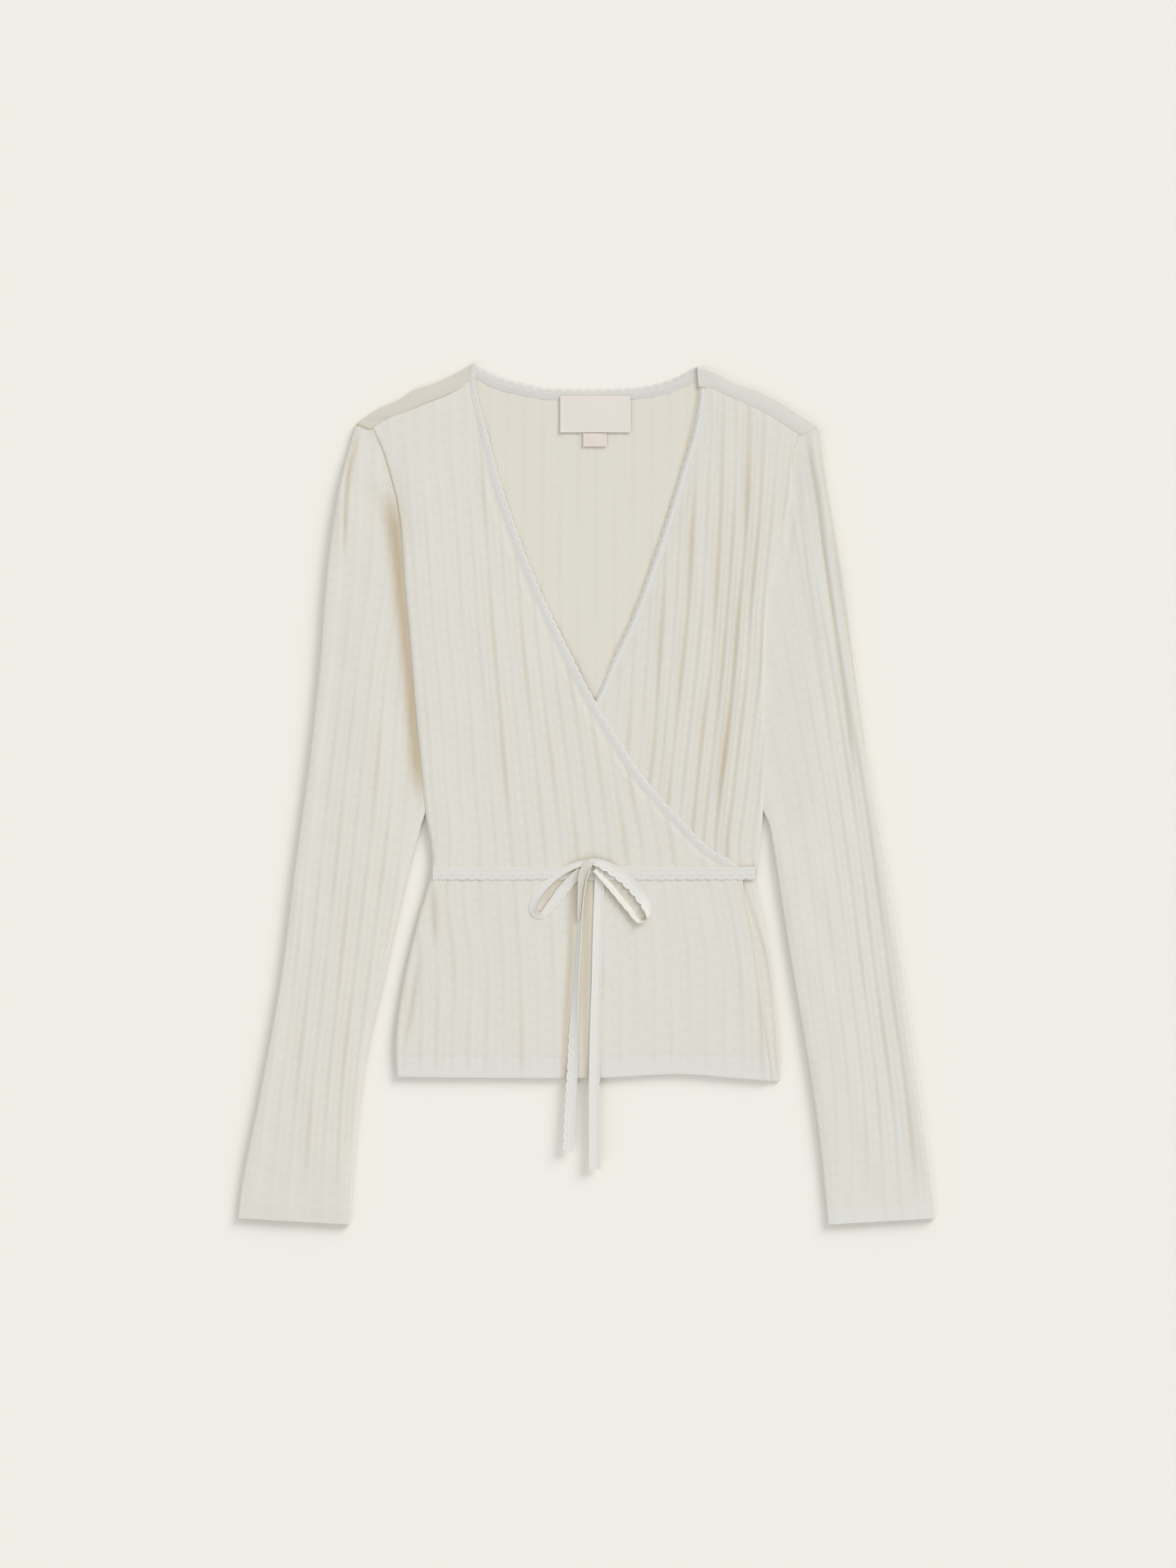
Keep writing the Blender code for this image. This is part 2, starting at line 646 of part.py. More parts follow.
def make_cardigan():
    """All pieces of the cardigan."""
    knit = knit_material("pointelle_knit", KNIT, 0.9)
    trim = knit_material("scallop_trim", TRIM_KNIT, 0.85)
    woven = knit_material("woven_label", LABEL_WEAVE, 0.6)

    over = Front(1, NECK_RIGHT, STRIP_RIGHT, OVER_LEVEL, SEAM_OVER_LEVEL)
    under = Front(2, NECK_LEFT, STRIP_LEFT, UNDER_LEVEL, UNDER_LEVEL)
    make_back(knit)
    make_front("front_right", over, knit)
    make_front("front_left", under, knit)

    make_strip("shoulder_right", STRIP_RIGHT, OVER_LEVEL, knit)
    make_strip("shoulder_left", STRIP_LEFT, UNDER_LEVEL, knit)

    sleeve_right = Sleeve(1, SLEEVE_RIGHT_OUTER, SLEEVE_RIGHT_INNER, SLEEVE_FOLDS_RIGHT,
                          SEAM_OVER_LEVEL)
    sleeve_left = Sleeve(2, SLEEVE_LEFT_OUTER, SLEEVE_LEFT_INNER, SLEEVE_FOLDS_LEFT,
                         UNDER_LEVEL)
    make_sleeve("sleeve_right", sleeve_right, knit)
    make_sleeve("sleeve_left", sleeve_left, knit)

    even = list(np.linspace(0.0, 1.0, NECK_STEPS + 1))
    drop = OVER_LEVEL - UNDER_LEVEL
    make_flat_band("trim_neck_right", NECK_RIGHT, neck_stations(over), TRIM_WIDTH, OVER_LEVEL,
                   trim, drop)
    make_flat_band("trim_neck_left", NECK_LEFT, neck_stations(under), TRIM_WIDTH, UNDER_LEVEL,
                   trim)
    make_flat_band("trim_neck_back", NECK_BACK, even, BACK_TRIM_WIDTH, BACK_LEVEL, trim)

    knot_x = KNOT_CENTRE[0]
    make_waist_band("tie_band_right", WAIST_BAND_ENDS[0], knot_x - SEAM / 2, over, trim)
    make_waist_band("tie_band_left", knot_x + SEAM / 2, WAIST_BAND_ENDS[1], over, trim)
    make_knot(trim)
    make_loose_band("bow_loop_right", LOOP_RIGHT, trim, 22)
    make_loose_band("bow_loop_left", LOOP_LEFT, trim, 22)
    make_loose_band("tie_end_right", END_RIGHT, trim, 18)
    make_loose_band("tie_end_left", END_LEFT, trim, 14)

    make_label("label_main", LABEL_MAIN, woven)
    make_label("label_size", LABEL_SIZE, woven)


clear_scene()
make_cardigan()
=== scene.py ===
"""The looks of a knitted wrap cardigan laid flat on a pale surface.

The wearer's right is at -X, the neck is towards +Y, and +Z is up off the surface. Tables
are in millimetres, and models are in metres. Each piece is a fine shell on the form of
the solid that it replaces, with the knit's ribs and creases raised on it.
"""
import math

import bpy
import numpy as np
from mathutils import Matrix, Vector


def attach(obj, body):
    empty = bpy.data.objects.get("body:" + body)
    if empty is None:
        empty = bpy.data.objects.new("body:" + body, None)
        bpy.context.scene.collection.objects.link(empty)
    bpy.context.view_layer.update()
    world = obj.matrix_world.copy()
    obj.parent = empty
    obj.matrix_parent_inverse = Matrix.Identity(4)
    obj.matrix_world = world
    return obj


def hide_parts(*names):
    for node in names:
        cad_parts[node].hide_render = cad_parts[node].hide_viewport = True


MM = 0.001
CLOTH_NAME = "_cloth"   # what a piece's name adds to its node's
EDGE_SHARE = 0.12       # how near an edge its extra line of points is, as a share of a step

# ---- sizes of the garment

CLOTH = 1.3             # thickness of the knit
BAND_CLOTH = 0.8        # thickness of the neckline trims and of the bow
LABEL_CLOTH = 0.7
LABEL_LIFT = 0.5        # how far a label stands off the back, besides the usual gap
SEAM = 0.4              # gap along a seam
LAYER_GAP = 0.35        # air between two layers of cloth
LAYER = CLOTH + LAYER_GAP

# Levels of the middle of each layer of cloth
BACK_LEVEL = CLOTH / 2
UNDER_LEVEL = 2.4
OVER_LEVEL = UNDER_LEVEL + LAYER
TIE_LEVEL = 5.9
SLEEVE_LEVEL = 3.9
SEAM_OVER_LEVEL = 3.6
FOLD_UNDER_LEVEL = 3.6
LABEL_LEVEL = LAYER + LABEL_CLOTH / 2 + LABEL_LIFT

HEM_Y = -216.0
WAIST_Y = -56.0
UNDERARM_Y = 112.0
SHOULDER_Y = 277.0
HEM_DEPTH = 16.0        # turned hem of the body
CUFF_DEPTH = 12.0       # turned hem of a sleeve
HEM_SINK = 0.6          # how far the fronts sink to the layers below them at the hem
GROOVE_WIDTH = 0.9      # half width of the stitched groove along a hem
GROOVE_DEPTH = 0.1
PANEL_LIFT = 0.5        # how far the fronts and sleeves are puffed up above their levels

TRIM_OVER = 1.6         # how far a trim lies over the edge of its panel
TRIM_DROOP = 1.0        # how far a trim's free edge hangs down
LEFT_TRIM_DROOP = 1.9
TRIM_RISE = 0.8         # how far a trim lies above its panel
BACK_TRIM_RISE = 0.85   # the same for the trim of the back
SEAM_LAP = 2.4          # by which one panel goes on under the next at a seam
SIDE_LAP = 4.0          # by which a sleeve goes under the body's side below the underarm
TUCK_END = -12.0        # height down to which it does so
BAND_WIDTH = 8.8        # of the trims and ties where they lie open
WAIST_BAND_WIDTH = 10.0
WAIST_BAND_Y = -60.0
WAIST_BAND_ENDS = (-117.4, 129.0)
WAIST_BAND_SINK = 0.2   # how far it is pressed down
WAIST_SCALLOPS = 0.9    # depth of its scallops, as a share of the other bands'
WAIST_WAVE = 0.35       # how far it strays up and down
WAIST_WAVE_PACES = (31.0, 12.7)     # how slowly, in mm to a radian
NECK_DROP_PLACES = (0.95, 0.99)     # between these shares of its length a neck trim drops
EDGE_SHADE_WIDTH = 0.08     # half width of the shade at a trim's edge, as a share of its width
SCALLOP_PITCH = 7.6
SCALLOP_DEPTH = 1.3
SCALLOP_POWER = 0.7     # lower makes fuller scallops
FINE_RIB = 1.3          # width of a band's fine ribs
FINE_RIB_HEIGHT = 0.10
FINE_RIBS_END = 4.0     # how far across a band they go
EDGE_ROUNDING = 0.35
CUP = 0.35              # how far the edges of a loose band bend up
LABEL_BULGE = 0.35      # how far a label swells up in its middle
LABEL_CORNER_RISE = 0.25
LABEL_CORNER_REACH = 4.0

ROLL_RADIUS = 1.5
ROLL_DROP = 0.3         # how far a front's edge turns down at its side
ROLL_REACH = 18.0
ROLL_CREST = 9.0        # how far inside its side a front is highest
NEAR_SIDE = 3.6         # strip beside a front's side where its points are close together
NEAR_SHARE = 0.06       # share of the points that it gets
SEAM_WIDTH = 0.9        # half width of the shaded line along a side seam
EDGE_REACH = 0.9        # how far a sleeve's folded edge stands out beyond its flat part
TOP_REACH = 60.0        # how far below its top a front's rows begin to follow it
RIB_FADE_HEIGHTS = (275.0, 205.0)   # between them a front's ribs reach their full height
STRIP_LEG = 3.0         # how far a shoulder strip goes on behind its fold
STRIP_SLANT = 1.25
STRIP_SWELL = 0.45      # how far it is puffed up
STRIP_SEAM_SHADE = 0.40
STRIP_SEAM_STEPS = 0.8  # half width of that shade, in steps of the grid
STRIP_END_WIDTH = 1.4   # half width of the shade at its outer end
TIP_TUCK = 0.15         # how far a sleeve's tip lies below the strip's end
SEAM_REACH = 46.0       # how far from the armhole a sleeve reaches its full height
SLEEVE_CROWN = 1.1      # how much higher a sleeve's middle stands than its edges
EDGE_LIFT = 1.7         # how much its outer fold stands up besides
EDGE_WIDTH = 10.0
CUFF_REACH = 60.0       # how far above the cuff a sleeve has its full height and ribs
V_SAG = 1.5             # how far the upper front sinks to the back beside its neckline
SAG_HEIGHTS = (80.0, 150.0)     # between them it comes to sink so far
SAG_REACH = 60.0        # how far from the neckline it is level again
SLEEVE_LENGTH = 605.0
FOLD_POINTS = 7         # around a sleeve's folded edge
SEAM_STEPS = (0.0, 0.0015, 0.003, 0.006)    # a sleeve's first rings, close to its seam

# Numbers of points: rows in a panel's hem and above it, and columns
FRONT_ROWS = (18, 146)
FRONT_COLUMNS = 232
BACK_ROWS = (14, 140)
BACK_COLUMNS = 240
STRIP_ROWS = 110
STRIP_COLUMNS = 15
STRIP_FOLD_POINTS = 11
SLEEVE_ROWS = 180
SLEEVE_COLUMNS = 88
TRIM_ROWS = 560
BACK_TRIM_ROWS = 330
LABEL_COLUMNS = 60
LABEL_ROWS = 34
WAIST_BAND_STEP = 0.6   # length between two rows
LOOSE_BAND_STEP = 0.55

# How far a sleeve goes on under the strip and the front: place along the armhole, where 1
# is the corner between them, and the laps towards the body and upwards
TIP_LAPS = (
    (0, 3.4, 2.8), (0.9, 3.5, 3.4), (1.1, 5, 2.4), (1.4, 5, 0), (3.5, 2.4, 0),
)

# Sides of the body from hem to shoulder, and how far each front swells beside the seam
#    y       right    left   right_rise left_rise
SIDES = (
    (-216, -144.4, 147.8, 0.3, 0),
    (-190, -145.4, 147.2, 0.3, 0),
    (-160, -142, 144.1, 0.3, 0),
    (-130, -136.4, 140.6, 0.3, 0),
    (-94.8, -127.8, 135, 0.3, 0),
    (-66, -119.6, 129.4, 0.3, 0),
    (-54, -117.4, 131, 0.4, 0),
    (-14, -122.4, 134.8, 0.5, 0.1),
    (30, -126.6, 135.6, 0.5, 0.2),
    (75, -130.8, 136.2, 0.5, 0.2),
    (118.8, -134.4, 137.2, 0.5, 0.2),
    (163.2, -138.4, 142.2, 0.5, 0.2),
    (203.4, -141.4, 151.4, 0.4, 0.1),
    (223.2, -144.4, 156.4, 0.3, 0),
    (240.6, -149.4, 157.8, 0.1, 0),
    (261.6, -156.6, 158.4, 0, 0),
    (277, -164.4, 163.2, 0, 0),
)

# Free edges of the fronts below the waist, where they cross to the other side
#    y       over    under
WRAP_EDGES = (
    (-216, 141.4, -130), (-186.6, 137.4, -129), (-144, 131.1, -124), (-112.8, 126, -119),
    (-80, 121, -113), (-56, 118.6, -108),
)

# How far the hem hangs below its level: x, drop
HEM_DROP = (
    (-145, -0.6), (-70, 0.2), (10, 0), (81, -2.4), (112, 0.2), (148, 3),
)

# Middle of the neckline trims, from the waist up to the shoulder: x, y, width
NECK_RIGHT_END = (115.0, -58.4, 6.4)    # where the trim ends, under the waist band
NECK_RIGHT = (
    (109, -54.5, 8.4), (91, -42.9, 8.4), (69.8, -21.5, 8.4), (41.5, 10.1, 8.4),
    (16.8, 47.2, 8.4), (2.2, 71.4, 8.4), (-17.3, 109.3, 8.4), (-42.8, 164, 8.4),
    (-54.5, 194, 8.4), (-72.9, 250, 8.4), (-78, 272, 7.3), (-82.6, 291.4, 5.9),
    (-87.2, 311, 5.4), (-87.4, 321, 5), (-86.4, 329.4, 2.6),
)
NECK_LEFT = (
    (-101.5, -52, 8.4), (-69, -31, 8.4), (-38.4, 0, 8.4), (-10.2, 39.6, 8.4),
    (10.6, 72.6, 8.4), (22.3, 99.5, 8.4), (34.8, 126, 8.4), (57.7, 188.1, 8.4),
    (77.4, 252, 8.4), (84.8, 277, 8), (89.2, 306, 7.4), (90, 326, 6.8),
)
NECK_BACK = (
    (-89.6, 325.4, 7.4), (-84.6, 323.6, 9), (-78.7, 320.6, 9.3), (-68.6, 315.6, 9.3),
    (-48, 310.2, 9), (-32.4, 306.9, 8.4), (-15, 306.2, 8), (18.6, 306.4, 8),
    (40, 307.4, 8.4), (61, 311.6, 9), (73, 316.4, 9.3), (87, 324, 9.3),
)

# Shoulder strips from the armhole to the neck: point on the fold, point on the forward seam
#   fold_x   fold_y  seam_x  seam_y
STRIP_RIGHT = (
    (-176.4, 283.4, -165.4, 279), (-159.5, 294.8, -150.4, 287.4), (-142.7, 302.5, -137.4, 292.8),
    (-132, 309.6, -123.6, 298.8), (-118.2, 314, -108.3, 304.8), (-95.8, 324.6, -94.4, 311.4),
    (-88.6, 328.6, -88, 313.6),
)
STRIP_LEFT = (
    (178.2, 281.8, 163.8, 274.6), (163.6, 291.6, 151.6, 282.4), (148, 301.6, 136.9, 291.5),
    (133.8, 308.8, 122, 298.6), (113.1, 316.4, 108, 304.8), (94.8, 325.4, 94.4, 310.8),
    (84.6, 328.2, 85.6, 312),
)

# Sleeve edges from shoulder to cuff: y, x. The inner edge starts at the underarm.
SLEEVE_RIGHT_OUTER = (
    (281.6, -176.8), (265.2, -181.2), (242.4, -187.2), (210, -193.2), (154.2, -199.8),
    (108, -203.2), (23.4, -212.4), (-51.6, -222.6), (-141.6, -234.2), (-228.6, -250),
    (-309.6, -265.4), (-324.6, -267.2),
)
SLEEVE_RIGHT_INNER = (
    (112, -134.9), (75, -131.5), (30, -127.1), (-3, -124.6), (-15.6, -125.4),
    (-57, -135), (-91.8, -143.6), (-150, -156.4), (-204, -168.6), (-236, -173),
    (-279, -177.3), (-328.8, -180.6),
)
SLEEVE_LEFT_OUTER = (
    (279.6, 179), (248.4, 182.6), (222, 186.6), (178.8, 195.6), (100.2, 205.2),
    (39, 213.8), (-13.2, 222.6), (-74.4, 233.2), (-135.6, 242.6), (-235.8, 256.4),
    (-309.6, 266.2), (-321.6, 267.2),
)
SLEEVE_LEFT_INNER = (
    (112, 137.6), (75, 136.7), (30, 136.1), (-1.2, 136.1), (-16.2, 138.6),
    (-61.2, 145.8), (-87, 149.6), (-135.6, 157.4), (-177, 164.6), (-235.8, 174),
    (-294.6, 181.2), (-328.2, 184.2),
)

# Rings of a sleeve: height on the outer edge, height on the inner edge, and how much of
# the armhole's curve the ring keeps
#   outer_y inner_y  bow
SLEEVE_RINGS = (
    (281, 112, 1), (262, 104, 0.86), (240, 94, 0.7), (214, 82, 0.54), (184, 68, 0.38),
    (150, 50, 0.24), (112, 28, 0.12), (72, 2, 0.04), (30, -26, 0), (-14, -56, 0), (-60, -92, 0),
    (-106, -128, 0), (-152, -166, 0), (-198, -206, 0), (-244, -250, 0), (-286, -291, 0),
    (-323.5, -328.4, 0),
)

# Bow loops and hanging ends, from the knot outwards. z is the middle of the band, lean
# turns the band from flat (0) to standing on its edge (90), width is across the band.
#    x      y      z    lean  width
LOOP_RIGHT = (
    (5.4, -50.4, 9.2, 16, 3.2), (-5, -52.6, 8.6, 18, 4.8), (-15, -56.6, 7.4, 18, 5.6),
    (-26, -64.2, 6.3, 18, 6), (-34.4, -72.6, 6.1, 18, 6.2), (-40, -82, 6.1, 20, 5.6),
    (-40.6, -89.6, 6.2, 22, 4.8), (-35.8, -92, 6.2, 18, 5), (-27, -84, 6, 12, 6.8),
    (-18.6, -73.6, 6, 8, 8.4), (-10.6, -64.2, 7, 12, 7.8), (-4, -57.6, 8.4, 10, 6),
)
LOOP_LEFT = (
    (3, -50.2, 9, 0, 4), (12, -53, 8.4, -2, 7.2), (21, -58, 6.9, -4, 8.8),
    (31.6, -66.6, 6.2, -5, 8.8), (40.4, -76.6, 6.1, -8, 8.6), (46.2, -87, 6.5, -30, 7.6),
    (46.4, -94.4, 6.9, -76, 5.8), (41.8, -96.2, 7, -120, 5.6), (33, -87.6, 6.8, -142, 5.6),
    (23, -75.6, 6.8, -145, 5.6), (13.6, -64.6, 7.4, -145, 5.4), (6.4, -57, 8.4, -145, 4.4),
)
END_RIGHT = (
    (3, -52.4, 10, 20, 3.4), (0, -60, 9.4, 36, 4.4), (-2.4, -72, 8.1, 46, 4.6),
    (-4.4, -92, 6.9, 46, 4.6), (-5.4, -112, 6.8, 46, 4.4), (-6.6, -132, 6.8, 44, 4.6),
    (-8, -152, 6.7, 36, 5.4), (-9.8, -180, 6.3, 18, 7.2), (-11.2, -216, 6, 5, 8.4),
    (-12.8, -244, 5.8, 2, 8.4), (-14.1, -272, 6.2, 0, 8.4),
)
END_LEFT = (
    (9, -53.4, 6.9, -3, 5), (10, -60, 6.9, -3, 7), (10, -72, 6, -3, 8), (8.8, -104, 5.8, -3, 8),
    (7.9, -143, 5.8, -2, 8), (6.8, -180, 5.8, -1, 8.4), (6.2, -216, 5.8, 0, 8.6),
    (6.4, -256, 5.8, 0, 9), (6.6, -285.6, 6.2, 0, 9.4),
)
# The strand that passes over the knot, from the top down to the right end
KNOT = (
    (5.6, -49, 9, 0, 2.4), (2.8, -51, 10.2, 0, 4.6), (-1, -55, 10.4, 0, 5.6),
    (-3.4, -61, 9.9, 0, 5.4), (-4.4, -70, 9, 6, 4.2), (-5.4, -84, 8.1, 12, 2.8),
    (-6, -96, 7.5, 16, 1.4),
)
KNOT_X = 4.8

# Labels: x and y of the lower left corner, width, height
LABEL_MAIN = (-20.1, 277.2, 54.0, 28.2)
LABEL_SIZE = (-2.4, 266.4, 18.0, 10.2)

# ---- ribs of the knit

RIB_PITCH = 12.0        # usual width of a rib
VALLEY_WIDTH = 1.5      # half width of a shallow valley between two ribs
VALLEY_SPREAD = 0.5     # what a stronger valley adds to it
SECOND_SHARE = 0.38     # strength of the lesser valley in the middle of a rib
SECOND_WIDTH = 1.3
RIB_HEIGHT = 0.34       # height of a rib whose strength is 1
RIB_SHADE = 0.20        # painted shade of a valley whose strength is 1
GROOVE_SHADE = 0.04     # painted shade along a stitched groove
HOLE_PITCH = 10.0       # between two diamonds of holes along a rib
CROWN_SHARE = 0.35      # roundness of the ribs
CREASE_FADE = 42.0      # length over which a crease dies out at its ends
CREASE_POINTS = 60
RIDGE_PLACE = 1.9       # how far beside a crease its ridge stands, in widths of the crease
RIDGE_WIDTH = 0.9
RIDGE_SHARE = 0.7       # height of the ridge, as a share of the crease's depth
DRAPE_WAVES = 7

# Where rib valleys run: their numbers, then heights y with the x of each valley there
OVER_RIBS = (
    (-6, -3, 0, 3, 6, 9, 12, 15),
    (272, -151, -117, -81, -50, -20, 10, 40, 70),
    (200, -146, -111, -77, -44, -12, 20, 50, 80),
    (128, -140, -106.5, -72, -39, -7, 25, 57, 89),
    (56, -133, -100, -66, -31, 4, 37, 70, 103),
    (8, -129, -98, -62, -25, 11, 45, 78, 110),
    (-40, -126, -94, -58, -20, 17, 55, 87, 117),
    (-76, -132, -95, -55, -17, 20, 59, 95, 131),
    (-130, -127, -89, -52, -13, 25, 64, 104, 141),
    (-184, -127, -91, -50, -13, 25, 64, 104, 147),
    (-216, -128, -92, -50, -12, 25, 65, 104, 149),
)
UNDER_RIBS = (
    (-9, -6, -4, -2, 0, 2, 4),
    (284, 50, 70, 86, 104, 124, 147, 169),
    (212, 38, 62, 81, 102, 122, 141, 160),
    (140, 28, 58, 77, 98, 116, 134, 152),
    (92, 25, 55, 72, 94, 112, 132, 152),
    (44, 22, 52, 67, 88, 107, 126, 146),
    (-4, 18, 47, 62, 83, 101, 121, 141),
    (-40, 16, 45, 60, 80, 98, 116, 136),
    (-130, 16, 48, 70, 92, 114, 138, 162),
    (-216, 16, 50, 74, 98, 122, 146, 170),
)
BACK_RIBS = (
    (-12, 0, 12),
    (320, -170, -6, 160),
    (120, -172, -7, 160),
    (-56, -150, -4, 146),
    (-216, -172, -2, 172),
)
SLEEVE_RIGHT_RIBS = (
    (-2, 0, 2, 4, 6),
    (250, -201, -176, -150, -126, -102),
    (190, -203, -178, -152, -128, -104),
    (100, -211, -187, -164, -142, -119),
    (-20, -225, -201, -176.5, -151, -127),
    (-140, -236, -213, -189, -166, -142),
    (-230, -247, -223, -198, -176, -153),
    (-325, -258, -231, -203.5, -178, -152),
)
SLEEVE_LEFT_RIBS = (
    (-6, -4, -2, 0, 2),
    (250, 101, 121, 142, 162, 183),
    (190, 108, 129, 150, 171, 192),
    (100, 122, 143, 165, 187, 205),
    (-20, 140, 164, 185, 206, 226),
    (-140, 156, 178, 201, 221, 243),
    (-230, 166, 188, 211, 233, 257),
    (-325, 167, 190, 214, 241, 268),
)

# Strength of each numbered valley
OVER_DEPTHS = (
    (-7, 0.5), (-5, 0.45), (-3, 0.4), (-2, 0.5), (-1, 0.5), (0, 1.25), (1, 0.5), (2, 1),
    (3, 0.85), (5, 0.95), (6, 0.85), (7, 1.05), (8, 1.25), (9, 0.75), (10, 1.1), (11, 0.7),
    (14, 0.6),
)
PEPLUM_DEPTHS = (
    (-7, 0.6), (-5, 0.7), (-4, 0.8), (-3, 0.55), (-2, 0.65), (-1, 0.4), (0, 0.75), (1, 0.35),
    (2, 0.45), (3, 0.3), (8, 0.3), (9, 0.35), (12, 0.35), (13, 0.6), (14, 0.7),
)
UNDER_DEPTHS = (
    (-9, 0.6), (-8, 1), (-7, 0.8), (-6, 1.7), (-5, 0.9), (-4, 1.9), (-3, 1), (-2, 1.8),
    (-1, 1.4), (0, 2.6), (1, 1.7), (2, 1.1), (3, 0.8),
)
BACK_DEPTHS = ((-12, 0.3), (12, 0.3))
SLEEVE_RIGHT_DEPTHS = (
    (-2, 0.3), (-1, 0.4), (0, 0.7), (1, 0.8), (2, 0.75), (3, 1), (4, 0.75), (5, 0.6),
)
SLEEVE_RIGHT_LOWER_DEPTHS = (
    (-2, 0.5), (-1, 0.6), (0, 0.9), (1, 0.9), (2, 1), (3, 1.1), (4, 1), (5, 0.8),
)
SLEEVE_LEFT_DEPTHS = (
    (-5, 0.2), (-4, 0.3), (-3, 0.4), (-2, 0.5), (-1, 0.8), (0, 1), (1, 1), (2, 0.9),
)
SLEEVE_LEFT_LOWER_DEPTHS = (
    (-5, 0.3), (-4, 0.4), (-3, 0.5), (-2, 0.6), (-1, 0.9), (0, 1.2), (1, 1.2), (2, 0.9),
)

# Single creases with painted shade. A ridge of 1 stands along the left of the points' way, and -1
# the right.
#    points along the crease                    depth width shade ridge
# Rows of depth 0 are painted shadow only: beside the tie's hanging ends and inside the bow's loops
OVER_CREASES = (
    (((-117.4, -62), (-116.8, -90), (-115.4, -121)), 0.8, 2.2, 0.36, 0),
    (((-127.6, -116), (-132.4, -152), (-141, -202)), 0.8, 2.4, 0.3, 0),
    (((127.6, -62), (131, -130), (134.8, -202)), 0.4, 2, 0.2, 0),
    (((-150, 262), (-146, 236), (-134, 180)), 0.4, 5, 0.15, 0),
    (((-11.8, -38), (-11.6, -84), (-12, -120), (-14.2, -150), (-15.6, -180),
      (-17.2, -214), (-19, -252)), 0, 2.8, 0.5, 0),
    (((0.6, -34), (0.8, -84), (0.4, -124), (-1, -150), (-0.6, -180),
      (-0.8, -214), (-0.8, -252)), 0, 3.2, 0.46, 0),
    (((-12, -56), (-22, -68), (-31, -79), (-36.4, -92)), 0, 3.2, 0.36, 0),
    (((13, -58), (27, -73), (38, -83), (44, -96)), 0, 3.4, 0.36, 0),
    (((8, -58), (20, -76), (31, -91), (40, -104)), 0, 2.2, 0.34, 0),
)
UNDER_CREASES = (
    (((104, 180), (98, 60), (91, -30)), 0.3, 6, 0.05, 0),
)
# Painted shadow only, beside the left neck trim's scalloped edge
BACK_CREASES = (
    (((9, 79), (17.8, 101), (30.3, 127.5), (53.4, 189.5), (73, 253), (80, 280),
      (84.8, 309), (85, 340)), 0, 1.3, 0.45, 0),
)
STRIP_RIGHT_CREASES = (
    (((-178, 286.4), (-166, 286.8), (-155.3, 287.4), (-143.6, 289.4), (-128, 296)),
     0.1, 1.6, 0.16, 0),
)
SLEEVE_RIGHT_CREASES = (
    (((-173.6, 290), (-176.6, 270), (-181.2, 252), (-184.2, 228), (-185.2, 204),
      (-187, 172)), 0.9, 1.8, 0.6, -1),
    (((-165, 252), (-158, 222), (-151, 190), (-147, 150)), 0.4, 4.6, 0.16, 0),
    # Mostly the painted shadow that the body's edge casts on the sleeve
    (((-152, 244), (-145, 192), (-142, 156), (-137.2, 112), (-132.6, 66),
      (-129.6, 32), (-126.8, -14)), 0.2, 5.6, 0.8, 0),
)
SLEEVE_LEFT_CREASES = (
    (((168, 292), (171.6, 258), (176.6, 231.6), (182, 185.7), (190.5, 123.7),
      (197.4, 77.7), (206, 10)), 0.5, 1.8, 0.32, 1),
    (((174, 300), (179.2, 260), (184.8, 229), (192.8, 174), (204.3, 100.7),
      (218, 10)), 0.25, 1.7, 0.24, 0),
    (((160, 250), (164, 210), (170, 160), (180, 90), (188, 30)),
     0.25, 2, 0.12, 0),
    (((159, 226), (156, 196), (151, 160)), 0.4, 2.6, 0.06, 0),
)


# ---- curves and tables

def table_value(rows, key, column, key_column=0):
    """Smooth values of a table's column at one key or an array of keys."""
    rows = sorted(rows, key=lambda row: row[key_column])
    keys = np.array([row[key_column] for row in rows], dtype=float)
    values = np.array([row[column] for row in rows], dtype=float)
    slopes = np.gradient(values, keys)
    key = np.clip(key, keys[0], keys[-1])
    i = np.clip(np.searchsorted(keys, key, side="right") - 1, 0, len(keys) - 2)
    step = keys[i + 1] - keys[i]
    t = (key - keys[i]) / step
    return (
        values[i] * (2 * t ** 3 - 3 * t ** 2 + 1)
        + values[i + 1] * (3 * t ** 2 - 2 * t ** 3)
        + slopes[i] * step * (t ** 3 - 2 * t ** 2 + t)
        + slopes[i + 1] * step * (t ** 3 - t ** 2)
    )


def path_lengths(rows):
    """Length along a path at each of its points, in plan."""
    steps = np.linalg.norm(np.diff(np.asarray(rows)[:, :2], axis=0), axis=1)
    return np.concatenate(([0.0], np.cumsum(steps)))


def path_sides(rows):
    """Unit vectors across a path, pointing to its left."""
    along = np.gradient(np.asarray(rows)[:, :2], axis=0)
    along /= np.linalg.norm(along, axis=1)[:, None]
    return np.column_stack((-along[:, 1], along[:, 0]))


def smooth_path(rows, count):
    """count rows at even steps along a smooth curve through the given rows."""
    keyed = np.column_stack((path_lengths(rows), rows))
    stations = np.linspace(0.0, keyed[-1, 0], count)
    columns = range(1, keyed.shape[1])
    return np.column_stack([table_value(keyed, stations, column) for column in columns])


def read_between(place, stations, rows):
    """Rows of a table read at places between its stations, column by column."""
    return np.stack([np.interp(place, stations, column) for column in np.transpose(rows)], axis=-1)


def smooth_step(value):
    """Even rise from 0 to 1 while value goes from 0 to 1."""
    value = np.clip(value, 0.0, 1.0)
    return value * value * (3.0 - 2.0 * value)


def rise(value, start, end):
    """The same rise while value goes from start to end."""
    return smooth_step((value - start) / (end - start))


def bell(value, width):
    """1 where value is 0, and falling off on both sides of it."""
    return np.exp(-(value / width) ** 2)


def line_between(start, end, share):
    """Points at shares of the way from start to end."""
    return start + (end - start) * share[:, None]


